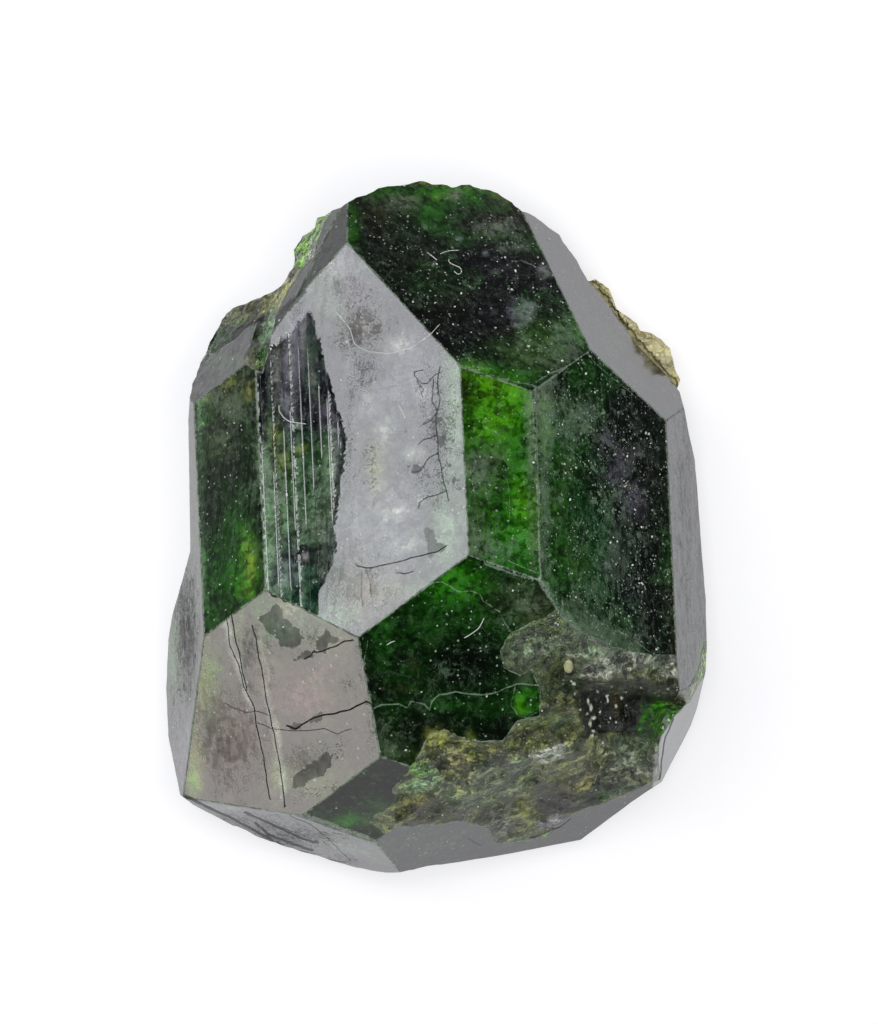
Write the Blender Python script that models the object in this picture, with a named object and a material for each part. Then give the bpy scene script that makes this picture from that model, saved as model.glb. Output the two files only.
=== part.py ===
"""A single crystal of demantoid garnet, broken off its matrix, lying on the broken side.

Metres, +Z up. +Y runs along the crystal's long axis and +X to the right, as seen from above, and the
origin is on the surface that the crystal rests on, under the middle of its outline. The shapes are
worked out in millimetres and written in metres.

Garnet is cubic. Its flat faces are planes whose directions follow from their indices (h k l), so the
crystal is cleaved from a block, one plane for each face, each at its own distance from the centre.
The breaks are rough sheets, cut out of the faced crystal afterwards.
"""

import math

import bmesh
import bpy
from mathutils import Matrix, Vector, geometry, noise

for old in list(bpy.data.objects):
    bpy.data.objects.remove(old, do_unlink=True)

MM = 0.001

# The crystal lies with its [111] axis nearly along +Y: turned about it, leaning back and to the left
TURN_ABOUT_LENGTH = math.radians(14.3)
LEAN_BACK = math.radians(-10.8)
LEAN_LEFT = math.radians(2.6)

# The middle of the whole crystal lies just above its broken side (mm)
CENTRE_HEIGHT = 0.95
BLOCK_HALF = 9.0
BLOCK_BOTTOM = -0.2

# Each face: its indices and its distance from the crystal's centre (mm)
FACES = {
    "front_striated": ((2, -1, -1), 4.68),
    "front_green": ((1, 0, -1), 5.03),
    "front_right": ((1, 1, -2), 4.77),
    "front_left": ((1, -1, 0), 5.20),
    "side_right": ((0, 1, -1), 5.07),
    "side_left": ((1, -2, 1), 5.23),
    "top_dark": ((2, 1, -1), 5.32),
    "top_right": ((1, 2, -1), 5.24),
    "top_left_band": ((2, -1, 1), 5.79),
    "top_left_slope": ((30, -12, 7), 6.05),
    "window": ((1, -1, -2), 5.21),
    "cracked": ((1, -2, -1), 5.45),
    "low_grey": ((0, -1, -1), 6.26),
    "low_left": ((-1, -2, -1), 6.79),
    "low_sliver": ((-1, -3, -2), 6.79),
    "low_front": ((-1, -1, -2), 6.13),
    "low_right": ((-1, 1, -2), 6.17),
    "end_right": ((-1, 0, -1), 6.77),
}
UPWARD = 0.05  # a face whose normal has at least this much +Z shows from above

# The outline seen from above: faces at the right and below, breaks at the top and the upper left (mm)
RIM = [
    (-1.77, 6.50), (-1.45, 6.70), (-0.99, 6.82), (-0.49, 6.90), (-0.17, 6.94), (0.31, 6.82), (0.67, 6.86),
    (1.25, 6.70), (1.67, 6.40), (2.13, 6.10), (2.47, 5.84), (2.81, 5.32), (3.09, 4.86), (3.39, 4.50),
    (3.61, 4.20), (3.93, 3.76), (4.25, 3.42), (4.53, 3.10), (4.75, 2.84), (4.87, 2.68), (4.97, 2.32),
    (5.03, 1.96), (5.17, 1.32), (5.23, 0.62), (5.31, -0.52), (5.39, -1.48), (5.41, -2.48), (5.39, -2.90),
    (5.23, -3.60), (5.09, -4.00), (4.51, -5.12), (3.91, -5.52), (2.89, -6.28), (2.07, -6.44), (1.47, -6.56),
    (0.09, -6.78), (-0.73, -6.96), (-1.21, -6.94), (-1.69, -6.84), (-2.11, -6.72), (-3.41, -6.30),
    (-4.07, -6.00), (-4.87, -5.58), (-5.13, -5.38), (-5.37, -4.20), (-5.41, -3.24), (-5.37, -2.28),
    (-5.29, -1.78), (-5.07, -1.02), (-4.93, -0.50), (-4.97, 2.12), (-4.93, 2.68), (-4.87, 3.02),
    (-4.67, 3.46), (-4.45, 3.92), (-4.23, 4.28), (-3.71, 4.56), (-3.29, 4.72), (-3.13, 4.84),
    (-2.91, 5.16), (-2.89, 5.54), (-2.69, 5.80), (-2.47, 6.00), (-2.41, 6.18), (-2.09, 6.34),
]

# The broken lower right corner: where the break meets the faces, and points inside with their depth
# under the missing faces (mm)
CORNER_EDGE = [
    (1.29, -2.54), (1.49, -2.14), (2.05, -1.88), (2.41, -1.70), (2.81, -2.08), (3.27, -2.30), (3.47, -2.44),
    (4.31, -2.58), (4.79, -2.60), (4.87, -3.28), (5.05, -3.30), (5.25, -2.86), (5.35, -2.30), (5.59, -2.58),
    (5.31, -3.04), (5.07, -3.48), (4.77, -3.78), (4.49, -4.20), (4.43, -4.52), (4.45, -5.06), (3.93, -5.28),
    (3.41, -5.52), (2.81, -5.70),
    (2.51, -5.86), (2.19, -6.20), (1.67, -6.32), (1.19, -6.32), (1.05, -6.04), (0.53, -5.90), (0.07, -5.94),
    (-0.79, -6.02), (-0.97, -6.16), (-1.37, -5.88), (-1.03, -5.70), (-0.79, -5.48), (-0.89, -5.28),
    (-0.61, -5.00), (-0.31, -4.52), (-0.13, -4.16), (0.15, -4.08), (0.67, -4.30), (1.33, -4.32),
    (1.59, -3.92), (2.07, -3.80), (2.09, -3.28), (1.91, -2.84), (1.67, -2.98), (1.37, -2.84),
]
LEDGE_TOP = [(3.07, -2.52, 0.10), (3.27, -2.76, 0.20), (3.87, -2.82, 0.25), (4.55, -2.82, 0.30)]
LEDGE_BROW = [(2.79, -3.00, 0.32), (3.35, -3.08, 0.30), (4.07, -3.14, 0.33), (4.79, -3.24, 0.40)]
LEDGE_FOOT = [(2.87, -3.20, 0.85), (3.35, -3.28, 1.30), (4.07, -3.36, 1.50), (4.75, -3.52, 1.20)]
POCKET = [
    (3.11, -3.52, 1.70), (3.27, -3.96, 1.90), (3.75, -3.60, 2.10), (3.99, -4.00, 1.90), (3.51, -4.32, 1.40),
    (3.03, -4.24, 1.20), (4.39, -3.60, 1.50), (4.71, -3.64, 1.00), (4.27, -4.18, 1.50), (4.17, -4.64, 1.10),
]
SPUR = [
    (1.67, -2.32, 0.10), (2.23, -2.28, 0.12), (2.51, -2.58, 0.20), (2.65, -2.82, 0.38), (2.23, -3.28, 0.35),
    (2.39, -3.92, 0.50), (2.75, -3.56, 0.55), (2.51, -4.44, 0.60), (1.87, -4.12, 0.40),
]
FOOT_SLOPE = [
    (0.31, -4.64, 0.35), (0.95, -4.76, 0.50), (1.75, -4.88, 0.60), (0.07, -5.28, 0.40), (1.27, -5.48, 0.45),
    (2.47, -5.08, 0.50), (3.31, -4.92, 0.70), (3.75, -5.16, 0.25), (-0.65, -5.72, 0.20), (0.07, -5.72, 0.22),
    (1.27, -6.00, 0.20), (2.07, -5.78, 0.25),
]

# The broken upper left flank, beyond the band of face that is left there (mm)
FLANK_EDGE = [
    (-5.01, 2.94), (-4.87, 3.04), (-4.29, 3.58), (-3.83, 3.92), (-3.61, 4.00), (-3.73, 3.62), (-3.85, 3.36),
    (-3.69, 3.16), (-3.49, 3.08), (-3.37, 3.52), (-3.29, 3.88), (-3.21, 4.18), (-3.09, 4.50), (-2.93, 4.78),
    (-2.77, 5.02), (-2.63, 5.22), (-2.45, 5.40), (-2.39, 5.72), (-2.29, 6.00), (-2.07, 6.36), (-1.81, 6.56),
    (-2.13, 6.72), (-3.13, 6.12), (-3.49, 5.12), (-4.73, 4.52), (-5.13, 3.52),
]
FLANK_STEP = [
    (-4.73, 3.28, 0.12), (-4.29, 3.76, 0.16), (-3.85, 4.08, 0.20), (-3.57, 3.82, 0.20), (-3.57, 3.42, 0.15),
    (-3.41, 3.92, 0.25), (-3.51, 4.30, 0.30), (-3.29, 4.52, 0.28), (-3.07, 4.84, 0.24), (-2.85, 5.18, 0.24),
    (-2.67, 5.50, 0.22), (-2.59, 5.76, 0.26), (-2.37, 6.08, 0.20), (-2.05, 6.44, 0.20),
]
FLANK_FOOT = [
    (-4.63, 3.62, 0.30), (-4.41, 4.02, 0.40), (-4.21, 4.36, 0.55), (-3.71, 4.60, 0.55), (-3.29, 4.76, 0.50),
    (-3.13, 4.92, 0.45), (-2.93, 5.24, 0.45), (-2.91, 5.56, 0.60), (-2.73, 5.80, 0.55), (-2.49, 6.02, 0.50),
    (-2.41, 6.22, 0.45), (-2.13, 6.40, 0.40),
]

# The chipped top end (mm)
TOP_EDGE = [
    (-1.81, 6.56), (-1.29, 6.36), (-0.89, 6.48), (-0.43, 6.40), (0.07, 6.24), (0.51, 6.40), (0.87, 6.32),
    (1.27, 6.24), (1.65, 6.34), (1.87, 6.72), (0.87, 7.22), (-0.73, 7.22), (-1.93, 6.92),
]
TOP_CHIPS = [
    (-1.13, 6.56, 0.03), (-0.23, 6.56, 0.04), (0.37, 6.52, 0.05), (0.97, 6.46, 0.04), (-1.45, 6.66, 0.05),
    (-0.93, 6.76, 0.07), (-0.49, 6.84, 0.09), (-0.13, 6.84, 0.08), (0.31, 6.72, 0.10), (0.67, 6.78, 0.10),
    (1.23, 6.62, 0.08), (1.51, 6.46, 0.05),
]

BREAK_LIFT = 0.05  # a break's edge starts this far over the face, so that its cutter crosses the face
BREAK_GRAIN = 0.21  # distance between the points of a rough sheet
BREAK_ROUGHNESS = 0.16
BREAK_SIZE = 0.55  # size of the lumps on a break
CUTTER_TOP = 8.0

# The underside: flat in the middle, where the crystal rests, and rising roughly towards the rim (mm)
RIM_HEIGHT = 0.50
UNDERSIDE_SLOPE = 2.2
UNDERSIDE_GRAIN = 0.50
UNDERSIDE_BUMPS = 0.45
UNDERSIDE_BUMP_SIZE = 1.6
REST_RADIUS = 1.9
UNDERSIDE_HALF = (6.2, 7.6)

# Growth striations on the left half of the front face, and open cracks (mm)
STRIATION_COUNT = 8
STRIATION_FIRST = -3.22
STRIATION_PITCH = 0.19
STRIATION_TOPS = (3.0, 3.3, 3.65, 3.9, 3.6, 2.9, 2.0, 1.3)
STRIATION_ENDS = (-1.15, -1.25, -1.2, -1.35, -0.9, -1.4, -0.6, -0.2)
STRIATION_WIDTH = 0.09
STRIATION_DEPTH = 0.05
CRACKS = [
    ("cracked", (-4.12, -1.95), (-3.34, -5.35)),
    ("cracked", (-3.60, -1.75), (-2.98, -5.45)),
    ("window", (-0.95, -3.60), (1.85, -3.24)),
]
CRACK_WIDTH = 0.08
CRACK_DEPTH = 0.10

# The rind of matrix under the upper right rim: its outline seen from above, and its grains (mm)
CRUST_EDGE = [
    (3.09, 4.90), (3.19, 4.94), (3.45, 4.76), (3.53, 4.56), (3.61, 4.34), (3.75, 4.24), (3.89, 4.14),
    (4.01, 4.06), (4.07, 3.92), (4.31, 3.86), (4.49, 3.74), (4.67, 3.56), (4.73, 3.36), (4.77, 3.14),
    (4.88, 2.92), (4.79, 2.68), (4.47, 2.12), (3.67, 2.52), (3.07, 3.32), (2.59, 4.32), (2.67, 4.92),
]
CRUST_BOTTOM = 0.08
CRUST_TOP = 0.92
CRUST_BUMPS = 0.55
CRUST_BUMP_SIZE = 0.42
CRUST_GRAIN = 0.17
CRUST_RECESS = 0.62  # the crystal's underside stands this high over the rind
RECESS_MARGIN = 0.60  # and does so this far round it
CRUST_CEILING = 0.52
GAP = 0.06

# The loose cream grain in the broken corner (mm)
GRAIN_PLACE = (2.65, -2.82)
GRAIN_HALF = (0.12, 0.15, 0.10)
GRAIN_RAISED = 0.17
GRAIN_LUMPS = 0.02


# Noise vectors start from the clock unless they are given a seed
noise.seed_set(5)


def unit(h, k, l):
    return Vector((h, k, l)).normalized()


def crystal_turn():
    """The turn from the crystal's own cubic axes to the way it lies."""
    axes = Matrix((unit(-1, 2, -1), unit(1, 1, 1), unit(1, 0, -1)))
    about_length = Matrix.Rotation(TURN_ABOUT_LENGTH, 3, "Y")
    back = Matrix.Rotation(LEAN_BACK, 3, "X")
    left = Matrix.Rotation(LEAN_LEFT, 3, "Z")
    return left @ back @ about_length @ axes


TURN = crystal_turn()
CENTRE = Vector((0, 0, CENTRE_HEIGHT))
LONG_AXIS = TURN @ unit(1, 1, 1)
PLANES = {name: (TURN @ unit(*index), distance) for name, (index, distance) in FACES.items()}


def plane_height(name, x, y):
    """How high a face's plane is over a point of the floor."""
    normal, distance = PLANES[name]
    return CENTRE_HEIGHT + (distance - normal.x * x - normal.y * y) / normal.z


def faces_height(x, y):
    """How high the unbroken faces are over a point of the floor."""
    shown = [name for name, (normal, _) in PLANES.items() if normal.z > UPWARD]
    return min(plane_height(name, x, y) for name in shown)


def rough(x, y, size, seed, octaves=3):
    """Smooth lumps between about -1 and 1."""
    return noise.fractal(Vector((x / size, y / size, seed)), 0.9, 2.1, octaves)


def inside(outline, x, y):
    """Whether a point is inside an outline: an upward ray crosses its edges an odd number of times."""
    crossings = 0
    for (ax, ay), (bx, by) in zip(outline, outline[1:] + outline[:1]):
        if (ax > x) != (bx > x) and y < ay + (by - ay) * (x - ax) / (bx - ax):
            crossings += 1
    return crossings % 2 == 1


def edge_distance(outline, x, y):
    """The distance from a point to the nearest edge of an outline."""
    point = Vector((x, y))
    nearest = math.inf
    for start, end in zip(outline, outline[1:] + outline[:1]):
        on_line, along = geometry.intersect_point_line(point, Vector(start), Vector(end))
        if along < 0:
            on_line = Vector(start)
        elif along > 1:
            on_line = Vector(end)
        nearest = min(nearest, (point - on_line.xy).length)
    return nearest


def area(outline):
    pairs = zip(outline, outline[1:] + outline[:1])
    return sum(ax * by - bx * ay for (ax, ay), (bx, by) in pairs) / 2


def lattice(outline, spacing):
    """Points of a triangular lattice inside an outline, each moved a little, clear of its edge."""
    xs = [x for x, _ in outline]
    ys = [y for _, y in outline]
    row_step = spacing * math.sqrt(3) / 2
    points = []
    for row in range(int((max(ys) - min(ys)) / row_step) + 1):
        for column in range(int((max(xs) - min(xs)) / spacing) + 1):
            x = min(xs) + spacing * (column + 0.5 * (row % 2))
            y = min(ys) + row_step * row
            nudge = noise.noise_vector(Vector((x, y, 3.7))) * spacing * 0.3
            x += nudge.x
            y += nudge.y
            if inside(outline, x, y) and edge_distance(outline, x, y) > spacing * 0.45:
                points.append((x, y))
    return points


def triangulate(outline, inner):
    """The points and triangles of a flat sheet over an outline, anticlockwise from above."""
    loop = list(outline) if area(outline) > 0 else list(reversed(outline))
    points = [Vector(p) for p in loop] + [Vector(p) for p in inner]
    result = geometry.delaunay_2d_cdt(points, [], [list(range(len(loop)))], 1, 1e-6)
    flat = [(p.x, p.y) for p in result[0]]
    triangles = []
    for a, b, c in result[2]:
        turn = area([flat[a], flat[b], flat[c]])
        triangles.append((a, b, c) if turn > 0 else (a, c, b))
    return flat, triangles


def block(outline, low, high, inner=()):
    """A closed mesh over an outline, between the heights low(x, y) and high(x, y)."""
    flat, triangles = triangulate(outline, inner)
    bm = bmesh.new()
    floor = [bm.verts.new((x * MM, y * MM, low(x, y) * MM)) for x, y in flat]
    roof = [bm.verts.new((x * MM, y * MM, high(x, y) * MM)) for x, y in flat]
    directed = set()
    for a, b, c in triangles:
        bm.faces.new((floor[a], floor[c], floor[b]))
        bm.faces.new((roof[a], roof[b], roof[c]))
        directed.update(((a, b), (b, c), (c, a)))
    for a, b in sorted(directed):
        if (b, a) not in directed:
            bm.faces.new((floor[a], floor[b], roof[b], roof[a]))
    return bm


def add_object(name, bm):
    mesh = bpy.data.meshes.new(name)
    bm.to_mesh(mesh)
    bm.free()
    item = bpy.data.objects.new(name, mesh)
    bpy.context.scene.collection.objects.link(item)
    return item


def add_cutter(name, bm):
    cutter = add_object(name, bm)
    cutter.hide_render = True
    cutter.display_type = "WIRE"
    return cutter


def apply_cutter(item, cutter, operation="DIFFERENCE"):
    cut = item.modifiers.new(cutter.name, "BOOLEAN")
    cut.operation = operation
    cut.solver = "EXACT"
    cut.object = cutter


def surface(name, colour, roughness):
    material = bpy.data.materials.new(name)
    material.use_nodes = True
    shader = material.node_tree.nodes["Principled BSDF"]
    shader.inputs["Base Color"].default_value = (*colour, 1)
    shader.inputs["Roughness"].default_value = roughness
    shader.inputs["Metallic"].default_value = 0.0
    return material


def cleaved_block():
    """A block cut down by each face's plane in turn: the crystal before anything broke off."""
    bm = bmesh.new()
    size = Matrix.Diagonal((2 * BLOCK_HALF, 2 * BLOCK_HALF, 2 * BLOCK_HALF))
    bmesh.ops.create_cube(bm, size=MM, matrix=size.to_4x4())
    bottom = (Vector((0, 0, -1)), CENTRE_HEIGHT - BLOCK_BOTTOM)
    for normal, distance in [*PLANES.values(), bottom]:
        parts = bm.verts[:] + bm.edges[:] + bm.faces[:]
        point = (CENTRE + normal * distance) * MM
        cut = bmesh.ops.bisect_plane(bm, geom=parts, plane_co=point, plane_no=normal, clear_outer=True)
        rim = [part for part in cut["geom_cut"] if isinstance(part, bmesh.types.BMEdge)]
        bmesh.ops.contextual_create(bm, geom=rim)
    bmesh.ops.recalc_face_normals(bm, faces=bm.faces)
    return bm


class Break:
    """A rough break through the faces: its edge on them, and inner points with their depth."""

    def __init__(self, edge, inner, seed):
        self.edge = edge
        self.inner = inner
        self.seed = seed
        depths = [0.0] * len(edge) + [depth for _, _, depth in inner]
        places = list(edge) + [(x, y) for x, y, _ in inner]
        flat, self.triangles = triangulate(edge, [(x, y) for x, y, _ in inner])
        self.flat = flat
        self.depths = [depths[self.nearest(places, p)] for p in flat]

    @staticmethod
    def nearest(places, point):
        return min(range(len(places)), key=lambda i: math.dist(places[i], point))

    def depth(self, x, y):
        """The depth under the missing faces, read between the hand-placed points."""
        for a, b, c in self.triangles:
            corners = [self.flat[a], self.flat[b], self.flat[c]]
            whole = area(corners)
            shares = [
                area([(x, y), corners[1], corners[2]]) / whole,
                area([corners[0], (x, y), corners[2]]) / whole,
                area([corners[0], corners[1], (x, y)]) / whole,
            ]
            if min(shares) > -1e-6:
                return sum(s * self.depths[i] for s, i in zip(shares, (a, b, c)))
        return 0.0

    def height(self, x, y):
        depth = self.depth(x, y)
        if depth < 1e-4:
            return faces_height(x, y) + BREAK_LIFT
        lumps = rough(x, y, BREAK_SIZE, self.seed) * BREAK_ROUGHNESS
        return faces_height(x, y) - depth + lumps * min(1.0, depth / 0.3)

    def cutter(self, name):
        """Everything over the break."""
        hand_placed = [(x, y) for x, y, _ in self.inner]
        filled = [
            p for p in lattice(self.edge, BREAK_GRAIN)
            if all(math.dist(p, q) > BREAK_GRAIN * 0.5 for q in hand_placed)
        ]
        return add_cutter(name, block(self.edge, self.height, lambda x, y: CUTTER_TOP, hand_placed + filled))


def pushed_out(outline, distance):
    """An outline moved outward by a distance, at its corners."""
    count = len(outline)
    turn = 1 if area(outline) > 0 else -1
    moved = []
    for i, corner in enumerate(outline):
        before, after = outline[i - 1], outline[(i + 1) % count]
        along = Vector((after[0] - before[0], after[1] - before[1])).normalized() * turn
        moved.append((corner[0] + along.y * distance, corner[1] - along.x * distance))
    return moved


RECESS_EDGE = pushed_out(CRUST_EDGE, RECESS_MARGIN)


def underside_height(x, y):
    """The broken underside: flat where the crystal rests, rough and rising towards the rim."""
    if inside(RECESS_EDGE, x, y):
        return CRUST_RECESS + 0.1 * abs(rough(x, y, 0.8, 5.0))
    to_rim = edge_distance(RIM, x, y) if inside(RIM, x, y) else 0.0
    near_rim = max(0.0, 1.0 - to_rim / UNDERSIDE_SLOPE)
    from_middle = max(0.0, math.hypot(x, y) / REST_RADIUS - 1.0)
    bumps = UNDERSIDE_BUMPS * rough(x, y, UNDERSIDE_BUMP_SIZE, 9.0) * min(1.0, from_middle)
    return min(RIM_HEIGHT + 0.06, max(0.0, RIM_HEIGHT * near_rim ** 1.5 + bumps * (1.0 - near_rim)))


def underside_cutter():
    """Everything under the broken underside."""
    half_x, half_y = UNDERSIDE_HALF
    corners = [(-half_x, -half_y), (half_x, -half_y), (half_x, half_y), (-half_x, half_y)]
    inner = lattice(corners, UNDERSIDE_GRAIN)
    return add_cutter("underside_cutter", block(corners, lambda x, y: -1.0, underside_height, inner))


def add_groove(bm, face, start, end, width, depth):
    """A V-shaped groove along a face, from one point to another, added to a cutter."""
    normal, _ = PLANES[face]
    a = Vector((*start, plane_height(face, *start)))
    b = Vector((*end, plane_height(face, *end)))
    across = normal.cross(b - a).normalized() * width / 2
    over = normal * depth * 0.4
    ends = []
    for middle in (a, b):
        corners = (middle - across + over, middle + across + over, middle - normal * depth)
        ends.append([bm.verts.new(corner * MM) for corner in corners])
    bm.faces.new(ends[0])
    bm.faces.new(list(reversed(ends[1])))
    for i in range(3):
        j = (i + 1) % 3
        bm.faces.new((ends[0][j], ends[0][i], ends[1][i], ends[1][j]))


def groove_cutter():
    """The striations, all along the crystal's long axis, and the open cracks."""
    bm = bmesh.new()
    lean = LONG_AXIS.x / LONG_AXIS.y
    for i in range(STRIATION_COUNT):
        x = STRIATION_FIRST + STRIATION_PITCH * i
        top, end = STRIATION_TOPS[i], STRIATION_ENDS[i]
        start_point, end_point = (x + lean * top, top), (x + lean * end, end)
        add_groove(bm, "front_striated", start_point, end_point, STRIATION_WIDTH, STRIATION_DEPTH)
    for face, start, end in CRACKS:
        add_groove(bm, face, start, end, CRACK_WIDTH, CRACK_DEPTH)
    bmesh.ops.recalc_face_normals(bm, faces=bm.faces)
    return add_cutter("groove_cutter", bm)


def make_crystal(corner):
    crystal = add_object("crystal", cleaved_block())
    rim = block(RIM, lambda x, y: -1.0, lambda x, y: CUTTER_TOP)
    apply_cutter(crystal, add_cutter("rim_outline", rim), "INTERSECT")
    apply_cutter(crystal, underside_cutter())
    apply_cutter(crystal, corner.cutter("corner_break"))
    apply_cutter(crystal, Break(FLANK_EDGE, FLANK_STEP + FLANK_FOOT, 21.0).cutter("flank_break"))
    apply_cutter(crystal, Break(TOP_EDGE, TOP_CHIPS, 33.0).cutter("top_break"))
    apply_cutter(crystal, groove_cutter())
    crystal.data.materials.append(surface("demantoid", (0.02, 0.16, 0.03), 0.08))


def crust_foot(x, y):
    return CRUST_BOTTOM + 0.08 * abs(rough(x, y, 0.4, 3.0))


def crust_height(x, y):
    return CRUST_TOP + CRUST_BUMPS * rough(x, y, CRUST_BUMP_SIZE, 47.0, 2)


def make_matrix_crust():
    """The rind, cut away where the crystal sits on it."""
    inner = lattice(CRUST_EDGE, CRUST_GRAIN)
    crust = add_object("matrix_crust", block(CRUST_EDGE, crust_foot, crust_height, inner))
    room = block(pushed_out(RIM, GAP), lambda x, y: CRUST_CEILING, lambda x, y: CUTTER_TOP)
    apply_cutter(crust, add_cutter("crystal_room", room))
    crust.data.materials.append(surface("matrix", (0.45, 0.41, 0.20), 0.85))


def make_matrix_grain(corner):
    """The grain, lying in its dent in the broken corner."""
    x, y = GRAIN_PLACE
    bm = bmesh.new()
    bmesh.ops.create_icosphere(bm, subdivisions=2, radius=1.0)
    middle = Vector((x, y, corner.height(x, y) + GRAIN_RAISED))
    for vert in bm.verts:
        direction = vert.co.copy()
        lump = 1 + GRAIN_LUMPS / GRAIN_HALF[0] * noise.noise(direction * 1.5)
        vert.co = (middle + Vector(h * c * lump for h, c in zip(GRAIN_HALF, direction))) * MM
    grain = add_object("matrix_grain", bm)
    grain.data.shade_smooth()
    grain.data.materials.append(surface("cream_matrix", (0.72, 0.68, 0.48), 0.6))


corner_break = Break(CORNER_EDGE, LEDGE_TOP + LEDGE_BROW + LEDGE_FOOT + POCKET + SPUR + FOOT_SLOPE, 11.0)
make_crystal(corner_break)
make_matrix_crust()
make_matrix_grain(corner_break)
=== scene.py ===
"""A single crystal of demantoid garnet, broken off its matrix and lying on the broken side.

Metres, +Z up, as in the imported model. Shapes are worked out in millimetres and written in metres.
"""

import math

import bmesh
import bpy
import numpy as np
from mathutils import Matrix, Vector, geometry, kdtree, noise


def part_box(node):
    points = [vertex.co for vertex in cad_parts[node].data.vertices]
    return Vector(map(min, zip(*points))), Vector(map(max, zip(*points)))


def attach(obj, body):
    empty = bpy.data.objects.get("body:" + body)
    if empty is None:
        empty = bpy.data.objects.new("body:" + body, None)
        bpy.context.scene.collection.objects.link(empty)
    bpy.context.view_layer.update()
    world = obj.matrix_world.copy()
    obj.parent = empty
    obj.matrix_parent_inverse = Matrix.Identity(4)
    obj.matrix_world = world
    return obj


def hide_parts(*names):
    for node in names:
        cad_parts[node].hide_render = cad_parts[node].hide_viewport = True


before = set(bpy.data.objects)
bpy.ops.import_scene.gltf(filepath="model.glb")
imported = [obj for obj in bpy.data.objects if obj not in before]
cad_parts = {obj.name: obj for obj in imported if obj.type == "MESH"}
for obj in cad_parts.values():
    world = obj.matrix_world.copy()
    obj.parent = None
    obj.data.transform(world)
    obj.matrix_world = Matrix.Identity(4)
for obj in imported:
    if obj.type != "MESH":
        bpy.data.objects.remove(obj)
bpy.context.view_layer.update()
MM = 0.001
noise.seed_set(5)

# The crystal: one garnet that grew as a single piece and was broken off its matrix. Its flat faces are
# planes of the cubic system, and its corner, flank, top end and underside are rough breaks through it.
# It lies with its [111] axis nearly along +Y, turned about it, leaning back and a little to the left.

# The crystal's turn, and the height of its centre over the table
TURN_ABOUT_LENGTH = math.radians(14.3)
LEAN_BACK = math.radians(-10.8)
LEAN_LEFT = math.radians(2.6)
CENTRE_HEIGHT = 0.95

# Each flat face: its Miller indices, and its distance from the crystal's centre
FACES = {
    "front_striated": ((2, -1, -1), 4.68),
    "front_green": ((1, 0, -1), 5.03),
    "front_right": ((1, 1, -2), 4.77),
    "front_left": ((1, -1, 0), 5.20),
    "side_right": ((0, 1, -1), 5.07),
    "side_left": ((1, -2, 1), 5.23),
    "top_dark": ((2, 1, -1), 5.32),
    "top_right": ((1, 2, -1), 5.24),
    "top_left_band": ((2, -1, 1), 5.79),
    "top_left_slope": ((30, -12, 7), 6.05),
    "window": ((1, -1, -2), 5.21),
    "cracked": ((1, -2, -1), 5.45),
    "low_grey": ((0, -1, -1), 6.26),
    "low_left": ((-1, -2, -1), 6.79),
    "low_sliver": ((-1, -3, -2), 6.79),
    "low_front": ((-1, -1, -2), 6.13),
    "low_right": ((-1, 1, -2), 6.17),
}

# Places and outlines were traced from the photo, in units of a fiftieth of a millimetre, across from its
# left edge and down from its top edge
TRACED_UNIT = 0.02
TRACED_MIDDLE = (436.5, 526)


def drawn(text):
    """Traced points in millimetres, with a depth if given, or spots: half width and height, strength."""
    places = []
    for numbers in text.split():
        x, y, *rest = map(float, numbers.split(","))
        across, up = x - TRACED_MIDDLE[0], TRACED_MIDDLE[1] - y
        lengths = [round(length * TRACED_UNIT, 2) for length in (across, up, *rest[:-1])]
        places.append((*lengths, *rest[-1:]))
    return places


def entries(text):
    """The entries of a table: each is one or more plain words, and then its places."""
    found = []
    for word in text.split():
        if "," in word:
            found[-1][-1] += " " + word
        elif found and not found[-1][-1]:
            found[-1].insert(-1, word)
        else:
            found.append([word, ""])
    return [(*head, drawn(places)) for *head, places in found]


# The outline seen from above: faces at the right and below, breaks at the top and the upper left
RIM = drawn("""
    348,201 364,191 387,185 412,181 428,179 452,185 470,183 499,191 520,206 543,221 560,234 577,260 591,283
    606,301 617,316 633,338 649,355 663,371 674,384 680,392 685,410 688,428 695,460 698,495 702,552 706,600
    707,650 706,671 698,706 691,726 662,782 632,802 581,840 540,848 510,854 441,865 400,874 376,873 352,868
    331,862 266,841 233,826 193,805 180,795 168,736 166,688 168,640 172,615 183,577 190,551 188,420 190,392
    193,375 203,353 214,330 225,312 251,298 272,290 280,284 291,268 292,249 302,236 313,226 316,217 332,209
""")

# The broken lower right corner: where the break meets the faces, and points inside with their depth
# under the missing faces, in millimetres
CORNER_EDGE = drawn("""
    501,653 511,633 539,620 557,611 577,630 600,641 610,648 652,655 676,656 680,690 689,691 699,669 704,641
    716,655 702,678 690,700 675,715 661,736 658,752 659,779 633,790 607,802 577,811 562,819 546,836 520,842
    496,842 489,828 463,821 440,823 397,827 388,834 368,820 385,811 397,800 392,790 406,776 421,752 430,734
    444,730 470,741 503,742 516,722 540,716 541,690 532,668 520,675 505,668
""")
LEDGE_TOP = drawn("590,652,.1 600,664,.2 630,667,.25 664,667,.3")
LEDGE_BROW = drawn("576,676,.32 604,680,.3 640,683,.33 676,688,.4")
LEDGE_FOOT = drawn("580,686,.85 604,690,1.3 640,694,1.5 674,702,1.2")
POCKET = drawn("""
    592,702,1.7 600,724,1.9 624,706,2.1 636,726,1.9 612,742,1.4 588,738,1.2 656,706,1.5 672,708,1
    650,735,1.5 645,758,1.1
""")
SPUR = drawn("""
    520,642,.1 548,640,.12 562,655,.2 569,667,.38 548,690,.35 556,722,.5 574,704,.55 562,748,.6 530,732,.4
""")
FOOT_SLOPE = drawn("""
    452,758,.35 484,764,.5 524,770,.6 440,790,.4 500,800,.45 560,780,.5 602,772,.7 624,784,.25 404,812,.2
    440,812,.22 500,826,.2 540,815,.25
""")

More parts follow.
